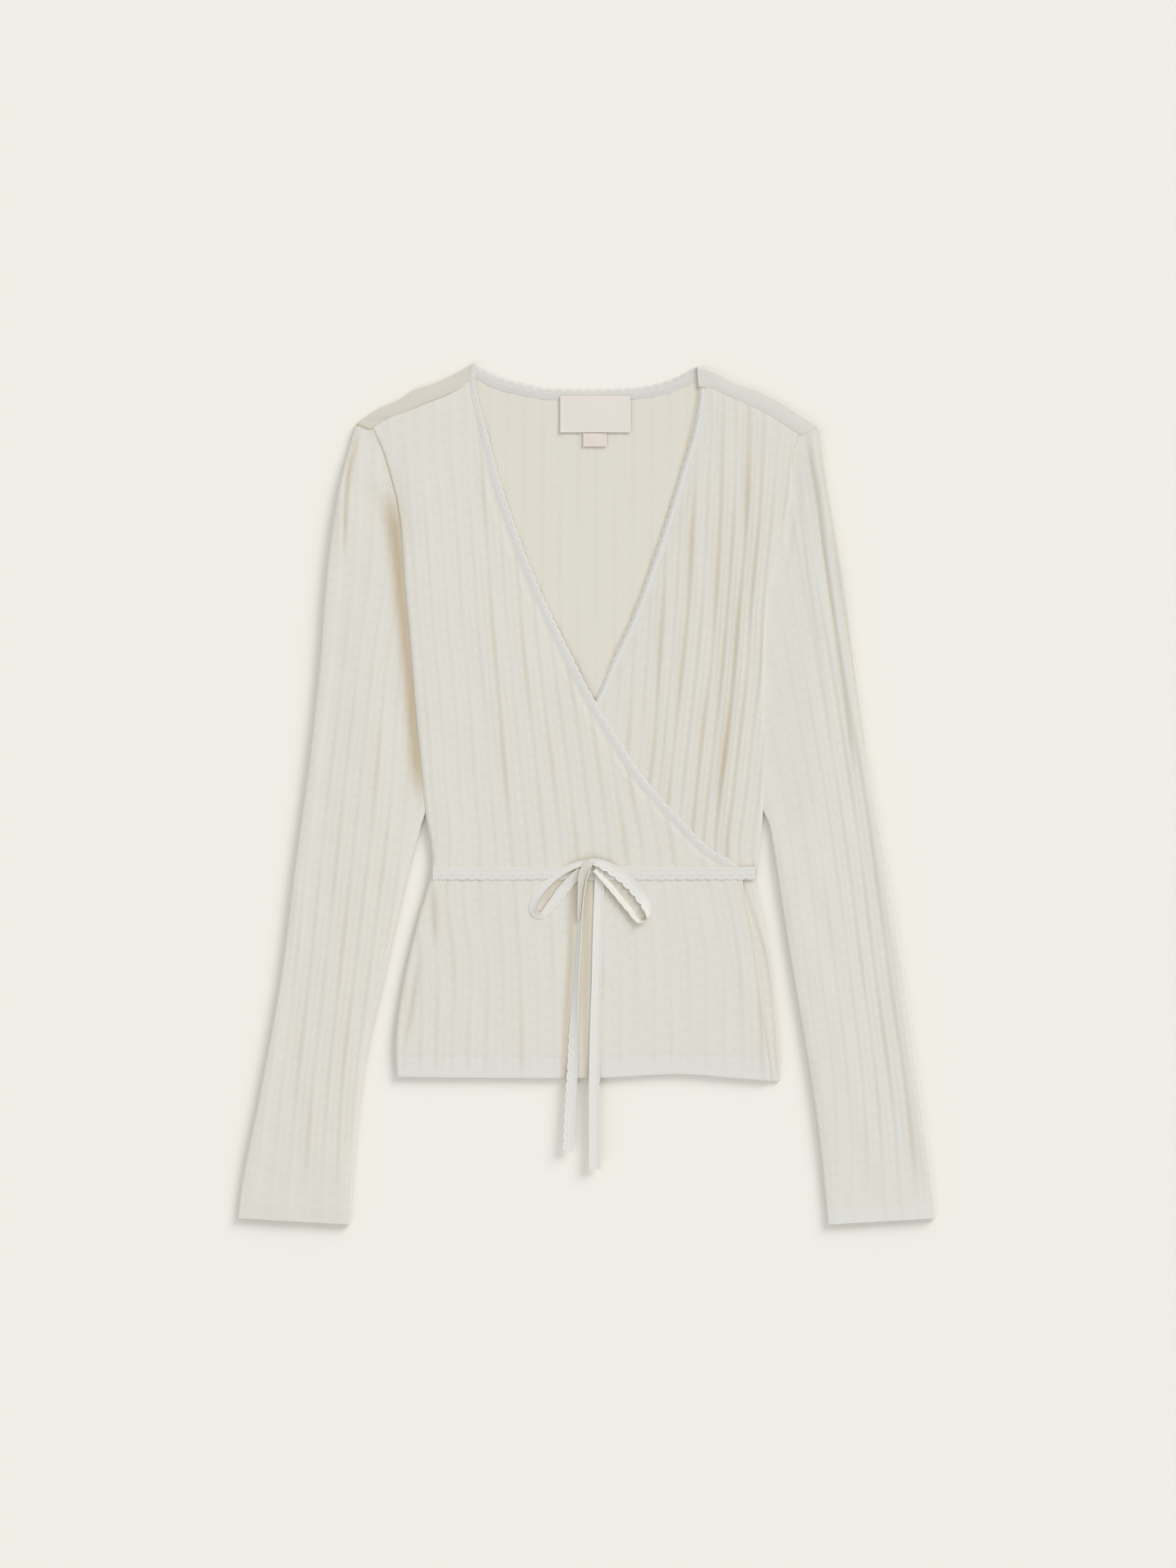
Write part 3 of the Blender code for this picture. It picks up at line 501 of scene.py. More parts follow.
class Path:
    """A smooth curve in plan through a table's points, read by fraction of its length.

    The table's third column is the width of the band that follows the curve.
    """

    def __init__(self, rows, samples=400):
        self.rows = smooth_path(rows, samples)
        self.sides = path_sides(self.rows)
        self.stations = np.linspace(0.0, 1.0, samples)
        self.length = path_lengths(self.rows)[-1]

    def point(self, fraction, shift=0.0):
        """Points at fractions of the length, moved by shift to the left of the path."""
        place, side = (read_between(fraction, self.stations, rows)
                       for rows in (self.rows[:, :2], self.sides))
        return place + side * np.asarray(shift)[..., None]

    def width(self, fraction):
        """Width of the band at fractions of the length."""
        return np.interp(fraction, self.stations, self.rows[:, 2])

    def lapped(self, fraction, side):
        """Edge of the panel that the band laps over, on the left (1) or right (-1)."""
        return self.point(fraction, side * (self.width(fraction) / 2 - TRIM_OVER))

    def fraction_at_height(self, y):
        """Fraction of the length at which a climbing path reaches height y."""
        return float(np.interp(y, self.rows[:, 1], self.stations))


# ---- relief of the knit

class Ribs:
    """The ribs of one panel: their number at any place, and their relief."""

    def __init__(self, layout, depths, lower_depths=None):
        numbers, *self.rows = layout
        self.numbers = np.array(numbers, dtype=float)
        self.depths = (depths, lower_depths or depths)

    def number(self, x, y):
        """Rib number, with whole numbers at the valleys."""
        columns = range(1, len(self.numbers) + 1)
        valleys = np.stack([table_value(self.rows, y, column) for column in columns])
        i = np.clip((x >= valleys).sum(axis=0) - 1, 0, len(self.numbers) - 2)
        low, high = (np.take_along_axis(valleys, k[None], 0)[0] for k in (i, i + 1))
        share = (x - low) / (high - low)
        return self.numbers[i] + share * (self.numbers[i + 1] - self.numbers[i])

    def strength(self, number, y):
        """Strength of the valleys at a rib number, uneven along them."""
        upper, lower = (np.interp(number, *zip(*depths)) for depths in self.depths)
        share = rise(y, WAIST_Y + 10.0, WAIST_Y - 10.0)
        uneven = np.sin(y / 37.0 + 2.3 * number) + np.sin(y / 17.0 + 4.1 * number)
        return (upper + (lower - upper) * share) * (1.0 + 0.22 * uneven)

    def relief(self, x, y):
        """Rib number, height of the ribs above their valleys, and how deep a place lies, which also
        sets its painted shade.
        """
        number = self.number(x, y)
        nearest = np.round(number)
        valley = self.strength(nearest, y)
        second = self.strength(number, y)
        distance = (number - nearest) * RIB_PITCH
        half = (number - np.floor(number) - 0.5) * RIB_PITCH
        hollow = valley * bell(distance, VALLEY_WIDTH + VALLEY_SPREAD * valley)
        hollow += SECOND_SHARE * second * bell(half, SECOND_WIDTH)
        crown = 0.5 - 0.5 * np.cos(2.0 * math.pi * number)
        return number, RIB_HEIGHT * (second - hollow + CROWN_SHARE * crown), hollow


def crease_relief(x, y, creases):
    """Depth of single creases at places x, y, and the painted shade along them."""
    depth_total = np.zeros_like(x)
    shade_total = np.zeros_like(x)
    for rows, depth, width, shade, ridge in creases:
        path = smooth_path(rows, CREASE_POINTS)
        nearest = np.full(x.shape, np.inf)
        station = np.zeros_like(x)
        left = np.zeros_like(x)
        for i, ((px, py), (side_x, side_y)) in enumerate(zip(path, path_sides(path))):
            distance = (x - px) ** 2 + (y - py) ** 2
            closer = distance < nearest
            nearest = np.where(closer, distance, nearest)
            station = np.where(closer, i / (CREASE_POINTS - 1), station)
            left = np.where(closer, (x - px) * side_x + (y - py) * side_y, left)
        fade = min(0.4, CREASE_FADE / path_lengths(path)[-1])
        ends = smooth_step(np.minimum(station, 1.0 - station) / fade)
        share = ends * bell(left, width)
        crest = ends * bell(left * ridge / width - RIDGE_PLACE, RIDGE_WIDTH) * abs(ridge)
        depth_total += depth * (share - RIDGE_SHARE * crest)
        shade_total += shade * share
    return depth_total, shade_total


def drape(x, y, seed, reach=38.0, amount=0.35):
    """Small uneven swells of the cloth, mostly above 0."""
    rng = np.random.default_rng(seed)
    total = np.zeros_like(x)
    for _ in range(DRAPE_WAVES):
        angle = rng.uniform(-0.5, 0.5)
        length = reach * rng.uniform(0.7, 2.2)
        across = x * math.cos(angle) + y * math.sin(angle)
        along = y * math.cos(angle) - x * math.sin(angle)
        wave = np.sin(across / length * 2.0 * math.pi + rng.uniform(0.0, 6.28))
        total += wave * np.sin(along / (length * 2.4) * 2.0 * math.pi + rng.uniform(0.0, 6.28))
    return amount * (0.5 + total / DRAPE_WAVES)


# ---- making meshes

def with_texture(points, rib, along, hollow=0.0, plain=0.0):
    """A grid of points x, y, z, with four more columns of values.

    rib and along are texture coordinates, hollow is the painted shade of the deep places,
    and plain is 1 where there are no holes.
    """
    values = np.broadcast_arrays(points[..., 0], rib, along, hollow, plain)[1:]
    return np.concatenate((points, np.stack(values, axis=-1)), axis=-1)


def with_edge_loops(grid, axis):
    """The same grid with an extra line of points close inside each of its two edges."""
    grid = np.moveaxis(grid, axis, 0)
    first = grid[0] + (grid[1] - grid[0]) * EDGE_SHARE
    last = grid[-1] + (grid[-2] - grid[-1]) * EDGE_SHARE
    grid = np.concatenate((grid[:1], first[None], grid[1:-1], last[None], grid[-1:]))
    return np.moveaxis(grid, 0, axis)


def add_object(name, data):
    """An object of the scene that shows the data."""
    made = bpy.data.objects.new(name, data)
    bpy.context.scene.collection.objects.link(made)
    return made


def shell(name, grid, material, thickness=CLOTH, closed=False):
    """A wall of cloth on both sides of a textured grid in millimetres."""
    for axis in (0,) if closed else (0, 1):
        grid = with_edge_loops(grid, axis)
    rows, columns = grid.shape[:2]
    used = columns - 1 if closed else columns
    row, column = (index.ravel() for index in np.indices((rows - 1, columns - 1)))
    around = ((row, column), (row, column + 1), (row + 1, column + 1), (row + 1, column))
    corners = np.stack([r * used + c % used for r, c in around], axis=1)
    mesh = bpy.data.meshes.new(name + CLOTH_NAME)
    mesh.vertices.add(rows * used)
    mesh.vertices.foreach_set("co", (grid[:, :used, :3] * MM).ravel())
    mesh.loops.add(corners.size)
    mesh.loops.foreach_set("vertex_index", corners.ravel())
    mesh.polygons.add(len(corners))
    mesh.polygons.foreach_set("loop_start", np.arange(0, corners.size, 4))
    mesh.polygons.foreach_set("loop_total", np.full(len(corners), 4))
    texture = mesh.uv_layers.new(name="knit")
    texture.data.foreach_set("uv", np.stack([grid[r, c, 3:5] for r, c in around], axis=1).ravel())
    for label, channel in (("hollow", 5), ("plain", 6)):
        attribute = mesh.attributes.new(label, "FLOAT", "POINT")
        attribute.data.foreach_set("value", grid[:, :used, channel].ravel())
    mesh.update()
    mesh.validate()
    mesh.shade_smooth()
    mesh.materials.append(material)
    piece = add_object(name + CLOTH_NAME, mesh)
    wall = piece.modifiers.new("cloth", "SOLIDIFY")
    wall.thickness = thickness * MM
    wall.offset = 0.0
    return piece


# ---- body panels

def neck_sag(y, sag):
    """How far the cloth right beside a neckline sinks at height y."""
    return sag * rise(y, *SAG_HEIGHTS)


def beside_neck(distance):
    """Share of that sag at a distance from the neckline."""
    return rise(distance, SAG_REACH, 0.0)


class Front:
    """One front: its side, its far edge, and how it lies."""

    def __init__(self, side_column, neck, strip, level, seam_level, sag, seam_shade):
        self.side_column = side_column
        self.strip = strip
        self.level = level
        self.seam_level = seam_level
        self.sag = sag
        self.seam_shade = seam_shade
        self.towards_centre = 1.0 if side_column == 1 else -1.0
        self.neck = Path(neck)
        self.top_fraction = self.neck.fraction_at_height(strip[-1][3] - 2.0 * SEAM)

    def side(self, y):
        """Point of the side seam at height y."""
        return np.array((table_value(SIDES, y, self.side_column), y))

    def far_edge(self, y):
        """Point across from the side seam's point at height y."""
        if y < WAIST_Y:
            return np.array((table_value(WRAP_EDGES, y, self.side_column), y))
        fraction = (y - WAIST_Y) / (SHOULDER_Y - WAIST_Y) * self.top_fraction
        return self.neck.lapped(fraction, self.towards_centre)

    def lie(self, distance, y):
        """Height of the middle of the cloth: a little down at the side seam, then level."""
        swell = table_value(SIDES, y, self.side_column + 2)
        top = self.level + swell * bell(distance - ROLL_CREST, ROLL_REACH)
        seam_level = max(self.seam_level, self.level - ROLL_DROP)
        turn = np.clip(1.0 - distance / ROLL_RADIUS, 0.0, 1.0)
        return seam_level + (top - seam_level) * np.sqrt(1.0 - turn * turn)

    def row(self, y, shares):
        """Points x, y, z of one row, and their distances from its two ends."""
        start = self.side(y)
        end = self.far_edge(y)
        span = np.linalg.norm(end - start)
        distance = np.where(
            shares < NEAR_SHARE, shares / NEAR_SHARE * NEAR_SIDE,
            NEAR_SIDE + (shares - NEAR_SHARE) / (1.0 - NEAR_SHARE) * (span - NEAR_SIDE))
        x, line_y = (start[i] + (end[i] - start[i]) * distance / span for i in range(2))
        near_top = max(0.0, 1.0 - (SHOULDER_Y - y) / TOP_REACH)
        line_y = line_y + near_top * (self.top_y(x) - self.chord_y(x))
        level = self.lie(distance, y) - neck_sag(y, self.sag) * beside_neck(span - distance)
        return np.column_stack((x, line_y, level)), distance, span - distance

    def top_y(self, x):
        """Upper edge of the front, a little under the shoulder strip."""
        return table_value(self.strip, x, 3, key_column=2) + SEAM_LAP

    def chord_y(self, x):
        """Straight line between the ends of the upper edge."""
        ends = sorted((tuple(self.side(SHOULDER_Y)), tuple(self.far_edge(SHOULDER_Y))))
        return np.interp(x, *zip(*ends))


def hem_relief(y):
    """Relief of the body's turned hem at height y, and how far y is in its stitched groove."""
    above = y - HEM_Y
    groove = bell(above - HEM_DEPTH, GROOVE_WIDTH)
    edge = np.clip(1.0 - above / 2.0, 0.0, 1.0) ** 2
    return -GROOVE_DEPTH * groove - 0.3 * edge, groove


def hem_share(distance, depth):
    """Share of the plain knit of a hem at a distance from its edge."""
    return 0.8 * rise(distance, depth + 4.0, depth - 4.0)


def hem_drop(x, y):
    """How far the hem's uneven hang moves a place down."""
    return rise(y, HEM_Y + 60.0, HEM_Y) * table_value(HEM_DROP, x, 1)


def panel_heights(hem_rows, rows):
    """Heights of a panel's rows, closer together in its hem."""
    above_hem = HEM_Y + HEM_DEPTH + 4.0
    return (*np.linspace(HEM_Y, above_hem, hem_rows)[:-1], *np.linspace(above_hem, SHOULDER_Y, rows))


def panel_shades(rib_hollow, creases, groove):
    """Painted shade: share by which valleys, creases and grooves are darkened."""
    return RIB_SHADE * rib_hollow + creases + GROOVE_SHADE * groove


def panel_grid(points, number, shade):
    """Textured grid of a panel with the body's hem."""
    y = points[..., 1]
    return with_texture(points, number, y / HOLE_PITCH, shade, hem_share(y - HEM_Y, HEM_DEPTH))


def make_front(name, front, ribs, creases, material, seed):
    """A front panel from hem to forward shoulder seam."""
    shares = np.linspace(0.0, 1.0, FRONT_COLUMNS)
    rows = [front.row(y, shares) for y in panel_heights(*FRONT_ROWS)]
    points, side_distance, edge_distance = (np.array(values) for values in zip(*rows))
    x, y = points[..., 0], points[..., 1]
    number, height, hollow = ribs.relief(x, y)
    rib_share = 0.45 + 0.55 * rise(y, *RIB_FADE_HEIGHTS)
    rib_share = rib_share * (0.25 + 0.75 * rise(y, HEM_Y, HEM_Y + 14.0))
    held_by_trim = rise(y, WAIST_Y, WAIST_Y + 6.0) * rise(edge_distance, TRIM_OVER + 5.0, TRIM_OVER)
    free = rise(side_distance, 0.0, 2.5) * (1.0 - 0.7 * held_by_trim)
    free = free * smooth_step((front.top_y(x) - SEAM_LAP - y) / 4.0)
    folds, fold_shade = crease_relief(x, y, creases)
    hem, groove = hem_relief(y)
    sink = HEM_SINK * rise(y, HEM_Y + 20.0, HEM_Y)
    raised = (height * rib_share + drape(x, y, seed) - folds) * free
    points[..., 2] += raised + PANEL_LIFT + hem - sink
    points[..., 1] -= hem_drop(x, y)
    # Painted shade: a thin line along the side seam, from seam_end upwards
    seam_shade, seam_end = front.seam_shade
    seam = seam_shade * bell(side_distance, SEAM_WIDTH) * rise(y, seam_end, seam_end + 20.0)
    grid = panel_grid(points, number, panel_shades(hollow * rib_share, fold_shade + seam, groove))
    return shell(name, grid[:, ::int(front.towards_centre)], material)


def fold_points(base, outward, low_level, high_level, reach, count):
    """Points around a fold of the cloth from top to bottom, that stands out from its base."""
    turn = np.radians(np.linspace(90.0, -90.0, count))[:, None]
    radius = (high_level - low_level) / 2
    levels = low_level + radius + radius * np.sin(turn)
    return np.hstack((base + outward * reach * np.cos(turn), levels))


def strip_fold_level(strip):
    """Height of the cloth just in front of a shoulder's fold."""
    return OVER_LEVEL if strip is STRIP_RIGHT else FOLD_UNDER_LEVEL


def back_top(x):
    """Upper edge of the back at x: the neck seam, or the end of a shoulder strip."""
    seam_x, seam_y = Path(NECK_BACK).lapped(np.linspace(0.0, 1.0, 80), -1.0).T
    result = np.interp(x, seam_x, seam_y)
    for strip, beyond in ((STRIP_RIGHT, x < seam_x[0]), (STRIP_LEFT, x > seam_x[-1])):
        fold = strip_fold_level(strip)
        inset = (STRIP_LEG + (fold - BACK_LEVEL) / 2 + CLOTH / 2) * STRIP_SLANT
        result = np.where(beyond, table_value(strip, x, 1) - inset - SEAM, result)
    return result


def make_back(name, material):
    """The back panel, flat on the surface, with its ribs on both faces."""
    shares = np.linspace(0.0, 1.0, BACK_COLUMNS)
    heights = np.array(panel_heights(*BACK_ROWS))[:, None]
    left, right = (table_value(SIDES, heights, column) for column in (1, 2))
    x = left + (right - left) * shares
    lift = back_top(x[-1]) - SHOULDER_Y
    lift[[0, -1]] = 0.0
    climb = (heights - HEM_Y) / (SHOULDER_Y - HEM_Y)
    y = heights + lift * climb ** 3
    number, height, hollow = Ribs(BACK_RIBS, BACK_DEPTHS).relief(x, y)
    inside = smooth_step(np.minimum(shares, 1.0 - shares) / 0.02)
    level = BACK_LEVEL + (height * 0.9 + 0.25 * drape(x, y, 5)) * inside
    groove = hem_relief(y)[1]
    y = y - hem_drop(x, y)
    shade = panel_shades(hollow, crease_relief(x, y, BACK_CREASES)[1], groove)
    return shell(name, panel_grid(np.dstack((x, y, level)), number, shade), material)


# ---- shoulders and sleeves

def strip_line(fold, seam, seam_level, fold_level, puffed):
    """One line across a shoulder strip: from its seam, over the fold, to its end behind."""
    radius = (fold_level - BACK_LEVEL) / 2
    out = (fold - seam) / np.linalg.norm(fold - seam)
    centre = fold - out * (radius + CLOTH / 2)
    share = np.linspace(0.0, 1.0, STRIP_COLUMNS)[:-1]
    levels = seam_level + (fold_level - seam_level) * share + PANEL_LIFT * (1.0 - share)
    levels = levels + STRIP_SWELL * puffed * np.sin(math.pi * share ** 0.8)
    front = np.column_stack((line_between(seam, centre, share), levels))
    around = fold_points(centre, out, BACK_LEVEL, fold_level, radius, STRIP_FOLD_POINTS)
    return np.vstack((front, around, (*(centre - out * STRIP_LEG), BACK_LEVEL)))


def make_strip(name, strip, seam_level, sag, tone, end_shade, creases, material):
    """A shoulder strip: from the forward seam, over the fold and a little way behind."""
    rows = smooth_path(strip, STRIP_ROWS)
    lengths = path_lengths(rows)
    sunk = sag * beside_neck(lengths[-1] - lengths)
    puffed = rise(lengths / lengths[-1], 1.0, 0.8)
    points = np.array([
        strip_line(row[:2], row[2:], seam_level - down, strip_fold_level(strip) - down, share)
        for row, down, share in zip(rows, sunk, puffed)
    ])
    x, y = points[..., 0], points[..., 1]
    folds, fold_shade = crease_relief(x, y, creases)
    points[..., 2] -= folds
    # Painted shade: tone over the whole strip, more along its seam, at its outer end and along its
    # crease
    shade = tone + STRIP_SEAM_SHADE * bell(np.arange(points.shape[1]), STRIP_SEAM_STEPS)
    shade = shade + end_shade * bell(lengths[:, None], STRIP_END_WIDTH) + fold_shade
    grid = with_texture(points, x / RIB_PITCH, y / HOLE_PITCH, shade)
    return shell(name, grid[::-1] if strip is STRIP_LEFT else grid, material)


class Sleeve:
    """One sleeve as rings between its outer and inner edges."""

    def __init__(self, side_column, outer, inner, strip, seam_level, strip_level):
        self.outer = outer
        self.inner = inner
        self.seam_level = seam_level
        self.strip_level = strip_level
        self.fold_level = strip_fold_level(strip)
        self.towards_body = 1.0 if side_column == 1 else -1.0
        seam, below = (
            np.column_stack((table_value(SIDES, heights, side_column), heights))
            for heights in (np.linspace(SHOULDER_Y, UNDERARM_Y, 60),
                            np.linspace(UNDERARM_Y, TUCK_END, 30))
        )
        seam[:, 0] -= self.towards_body * SEAM
        tip = self.edge_point(outer, outer[0][0])
        self.armhole = np.vstack((tip[None, :], seam))
        self.beside_body = np.vstack((self.armhole, below))
        lengths = path_lengths(self.armhole)
        self.across = lengths / lengths[-1]

    def edge_point(self, edge, y):
        """Point of one of the sleeve's edges at height y."""
        return np.array((table_value(edge, y, 1), y))

    def armhole_bow(self, across):
        """How far the armhole curve stands off its chord."""
        curve = read_between(across, self.across, self.armhole)
        return curve - line_between(self.armhole[0], self.armhole[-1], across)

    def off_seam(self, x, y):
        """Distance of places from the armhole and the body's side below it."""
        line = self.beside_body
        return np.hypot(x[:, None] - line[:, 0], y[:, None] - line[:, 1]).min(axis=1)

    def wall_level(self, off_seam, across):
        """Height of the upper wall, across from the outer edge (0) to the inner edge (1)."""
        leave = smooth_step(off_seam / SEAM_REACH)
        beside = across / self.across[1]
        at_tip = np.clip(1.0 - beside, 0.0, 1.0)
        start = self.seam_level + (self.strip_level - self.seam_level) * smooth_step(1.6 - beside)
        start = start + (self.fold_level - PANEL_LIFT - self.strip_level) * at_tip - TIP_TUCK
        return start + (SLEEVE_LEVEL - start) * leave

    def ring(self, along, across):
        """Points across the sleeve in plan, at a share of the way from shoulder to cuff."""
        stations = np.linspace(0.0, 1.0, len(SLEEVE_RINGS))
        keyed = np.column_stack((stations, SLEEVE_RINGS))
        outer_y, inner_y, bow = (table_value(keyed, along, c) for c in (1, 2, 3))
        start = self.edge_point(self.outer, outer_y)
        end = self.edge_point(self.inner, inner_y)
        tucked = rise(inner_y, TUCK_END - 14.0, TUCK_END + 6.0) * SIDE_LAP
        end[0] += self.towards_body * tucked
        line = line_between(start, end, across) + self.armhole_bow(across) * bow
        if along == 0.0:
            place, sideways, upwards = zip(*TIP_LAPS)
            beside = across / self.across[1]
            line[:, 0] += self.towards_body * np.interp(beside, place, sideways)
            line[:, 1] += np.interp(beside, place, upwards)
        return line, np.linalg.norm(end - start)


def sleeve_fold(edge_point, level, outward):
    """Where a sleeve's fold starts, and the points around it between top and bottom."""
    base = edge_point - outward * (EDGE_REACH + CLOTH / 2)
    around = fold_points(base, outward, BACK_LEVEL, level, EDGE_REACH, FOLD_POINTS + 2)
    return base, around[1:-1]


def sleeve_ring(sleeve, ribs, creases, seed, along, upper):
    """One ring of a sleeve's textured grid: its upper wall, inner fold, lower wall and
    outer fold."""
    middle, span = sleeve.ring(along, upper)
    x, y = middle.T
    number, height, hollow = ribs.relief(x, y)
    folds, fold_shade = crease_relief(x, y, creases)
    cuff = (1.0 - along) * SLEEVE_LENGTH
    groove = bell(cuff - CUFF_DEPTH, GROOVE_WIDTH)
    inside = rise(np.minimum(upper, 1.0 - upper) * span, 0.0, 5.0)
    off_seam = sleeve.off_seam(x, y) * (along > 0.0)
    leave = 0.15 + 0.85 * rise(off_seam, 0.0, 12.0)
    crown = SLEEVE_CROWN * np.sin(math.pi * upper) ** 0.6 * rise(off_seam, 0.0, SEAM_REACH)
    crown = crown + EDGE_LIFT * bell(upper * span, EDGE_WIDTH) * rise(along, 0.0, 0.12)
    crown = crown * rise(cuff, 0.0, CUFF_REACH)
    rib_share = 0.25 + 0.75 * rise(cuff, CUFF_DEPTH, CUFF_DEPTH + CUFF_REACH)
    rib_share = rib_share * (0.45 + 0.55 * rise(along, 0.15, 0.5))
    swell = drape(x, y, seed, reach=30.0, amount=0.7)
    raised = (height * rib_share + swell) * inside * leave - folds * inside
    level = sleeve.wall_level(off_seam, upper) + raised + crown + PANEL_LIFT
    level = level - GROOVE_DEPTH * groove

    chord = middle[-1] - middle[0]
    direction = chord / np.linalg.norm(chord)
    (inner_base, inner_fold), (outer_base, outer_fold) = (
        sleeve_fold(middle[end], level[end], outward)
        for end, outward in ((-1, direction), (0, -direction))
    )
    plan = line_between(outer_base, inner_base, upper)
    plan = plan + middle - line_between(middle[0], middle[-1], upper)
    off_edge = np.linspace(0.05, 0.35, FOLD_POINTS) * np.sign(np.gradient(number).mean())
    shade = panel_shades(hollow * inside * rib_share, fold_shade, groove)
    plain = hem_share(cuff, CUFF_DEPTH)

    def strand(points, rib, edge_y, dark):
        return with_texture(points, rib, edge_y / HOLE_PITCH, dark, plain)

    top = strand(np.column_stack((plan, level)), number, y, shade)
    low_level = BACK_LEVEL + 0.5 * height * inside
    bottom = strand(np.column_stack((plan, low_level)), number, y, 0.6 * shade)
    inner = strand(inner_fold, number[-1] + off_edge, y[-1], 0.0)
    outer = strand(outer_fold, number[0] - off_edge, y[0], 0.0)
    return np.vstack((top, inner, bottom[::-1], outer[::-1], top[:1]))


def make_sleeve(name, sleeve, ribs, creases, material, seed):
    """A sleeve as a flattened tube, open at armhole and cuff."""
    upper = np.linspace(0.0, 1.0, SLEEVE_COLUMNS)
    rings = (*SEAM_STEPS, *np.linspace(0.01, 1.0, SLEEVE_ROWS))
    grid = [sleeve_ring(sleeve, ribs, creases, seed, along, upper) for along in rings]
    return shell(name, np.array(grid), material, closed=True)


# ---- bands

BAND_SHARES = np.linspace(-0.5, 0.5, 11)    # from a band's plain edge to its scalloped edge


def towards_scallops(share):
    """0 on the plain half of a band, and from 0 to 1 on the scalloped half."""
    return max(0.0, share) * 2.0


def scallop(length, share):
    """How far the scalloped edge pulls in at a length along the band."""
    wave = np.abs(np.sin(math.pi * length / SCALLOP_PITCH))
    return SCALLOP_DEPTH * (1.0 - wave ** SCALLOP_POWER) * towards_scallops(share) ** 3


def narrowed(width):
    """Share of their full depth that the scallops have where a band is drawn narrow."""
    return np.clip(width / BAND_WIDTH, 0.0, 1.0) ** 2


def band_relief(share, width):
    """Height of a band's fine ribs across it, with rounded edges."""
    place = (share + 0.5) * width
    ribs = FINE_RIB_HEIGHT * np.cos(place / FINE_RIB * 2.0 * math.pi) * (place < FINE_RIBS_END)
    return ribs - EDGE_ROUNDING * np.clip(1.0 - np.minimum(place, width - place), 0.0, 1.0) ** 2


def band_shell(name, lines, lengths, material, flip, shade=0.0, width=BAND_WIDTH,
               thickness=BAND_CLOTH):
    """A band made of lines along it, one for each of the places across it."""
    across = (BAND_SHARES + 0.5) * width
    grid = with_texture(np.stack(lines, axis=1), across, lengths[:, None], shade)
    return shell(name, grid[:, ::-1] if flip else grid, material, thickness)


def flat_band(name, path, levels, material, side, edge_shade=0.0, droop=TRIM_DROOP):
    """A band lying along a path, scalloped on the path's left (1) or right (-1)."""
    fractions = np.linspace(0.0, 1.0, len(levels))
    lengths = fractions * path.length
    width = path.width(fractions)
    lines = []
    for share in BAND_SHARES:
        dent = scallop(lengths, share) * narrowed(width)
        plan = path.point(fractions, side * (share * width - dent))
        hang = droop * towards_scallops(share) ** 2
        lines.append(np.column_stack((plan, levels + band_relief(share, width) - hang)))
    # Painted shade along the scalloped edge
    shade = edge_shade * bell(0.5 - BAND_SHARES, EDGE_SHADE_WIDTH)
    return band_shell(name, lines, lengths, material, side > 0, shade)


def neck_band(name, rows, level, sag, drop, material, side, edge_shade, droop):
    """A neckline trim, from under the waist band up over the shoulder's fold."""
    path = Path(rows)
    fractions = np.linspace(0.0, 1.0, TRIM_ROWS)
    levels = level + TRIM_RISE - neck_sag(path.point(fractions)[:, 1], sag)
    dropped = drop * rise(fractions, *NECK_DROP_PLACES)
    return flat_band(name, path, levels - dropped, material, side, edge_shade, droop - dropped)


def waist_band(name, first_x, last_x, front, material):
    """Half of the waist band, lying on the upper front, scalloped below."""
    xs = np.linspace(first_x, last_x, int((last_x - first_x) / WAIST_BAND_STEP))[::-1]
    distance = np.maximum(xs - front.side(WAIST_BAND_Y)[0], ROLL_RADIUS)
    level = front.lie(distance, WAIST_BAND_Y) + TIE_LEVEL - OVER_LEVEL - WAIST_BAND_SINK
    lines = []
    for share in BAND_SHARES:
        y = WAIST_BAND_Y - share * WAIST_BAND_WIDTH + WAIST_SCALLOPS * scallop(xs, share)
        slow, quick = (xs / pace for pace in WAIST_WAVE_PACES)
        wave = WAIST_WAVE * np.sin(slow) * np.sin(quick + share)
        lines.append(np.column_stack((xs, y + wave, level + band_relief(share, WAIST_BAND_WIDTH))))
    return band_shell(name, lines, xs, material, True, width=WAIST_BAND_WIDTH, thickness=CLOTH)


def loose_band(name, rows, material, side, scallop_share, shade=0.0):
    """A band that turns about its own length: a loop of the bow or a hanging end."""
    path = smooth_path(rows, int(path_lengths(rows)[-1] / LOOSE_BAND_STEP))
    lengths = path_lengths(path)
    sides = path_sides(path)
    turn, width = np.radians(path[:, 3]), path[:, 4]
    across = np.column_stack((sides * np.cos(turn)[:, None], np.sin(turn)))
    normal = np.column_stack((-sides * np.sin(turn)[:, None], np.cos(turn)))
    lines = []
    for share in BAND_SHARES:
        dent = scallop(lengths, share) * scallop_share * narrowed(width)
        reach = side * (share * width - dent)
        cup = CUP * (share * 2.0) ** 2
        lines.append(path[:, :3] + across * reach[:, None] + normal * cup)
    return band_shell(name, lines, lengths, material, side > 0, shade)


# ---- labels

def make_label(name, place, material):
    """A bare woven label lying on the inside of the back."""
    x, y, width, height = place
    across, up = np.meshgrid(np.linspace(0.0, width, LABEL_COLUMNS),
                             np.linspace(0.0, height, LABEL_ROWS))
    bulge = LABEL_BULGE * np.sin(math.pi * across / width) ** 2 * np.sin(math.pi * up / height)
    corner = np.minimum(across, width - across) + np.minimum(up, height - up)
    level = LABEL_LEVEL + bulge + LABEL_CORNER_RISE * bell(corner, LABEL_CORNER_REACH)
    points = np.dstack((x + across, y + up, level))
    return shell(name, with_texture(points, across, up), material, LABEL_CLOTH)


# ---- materials

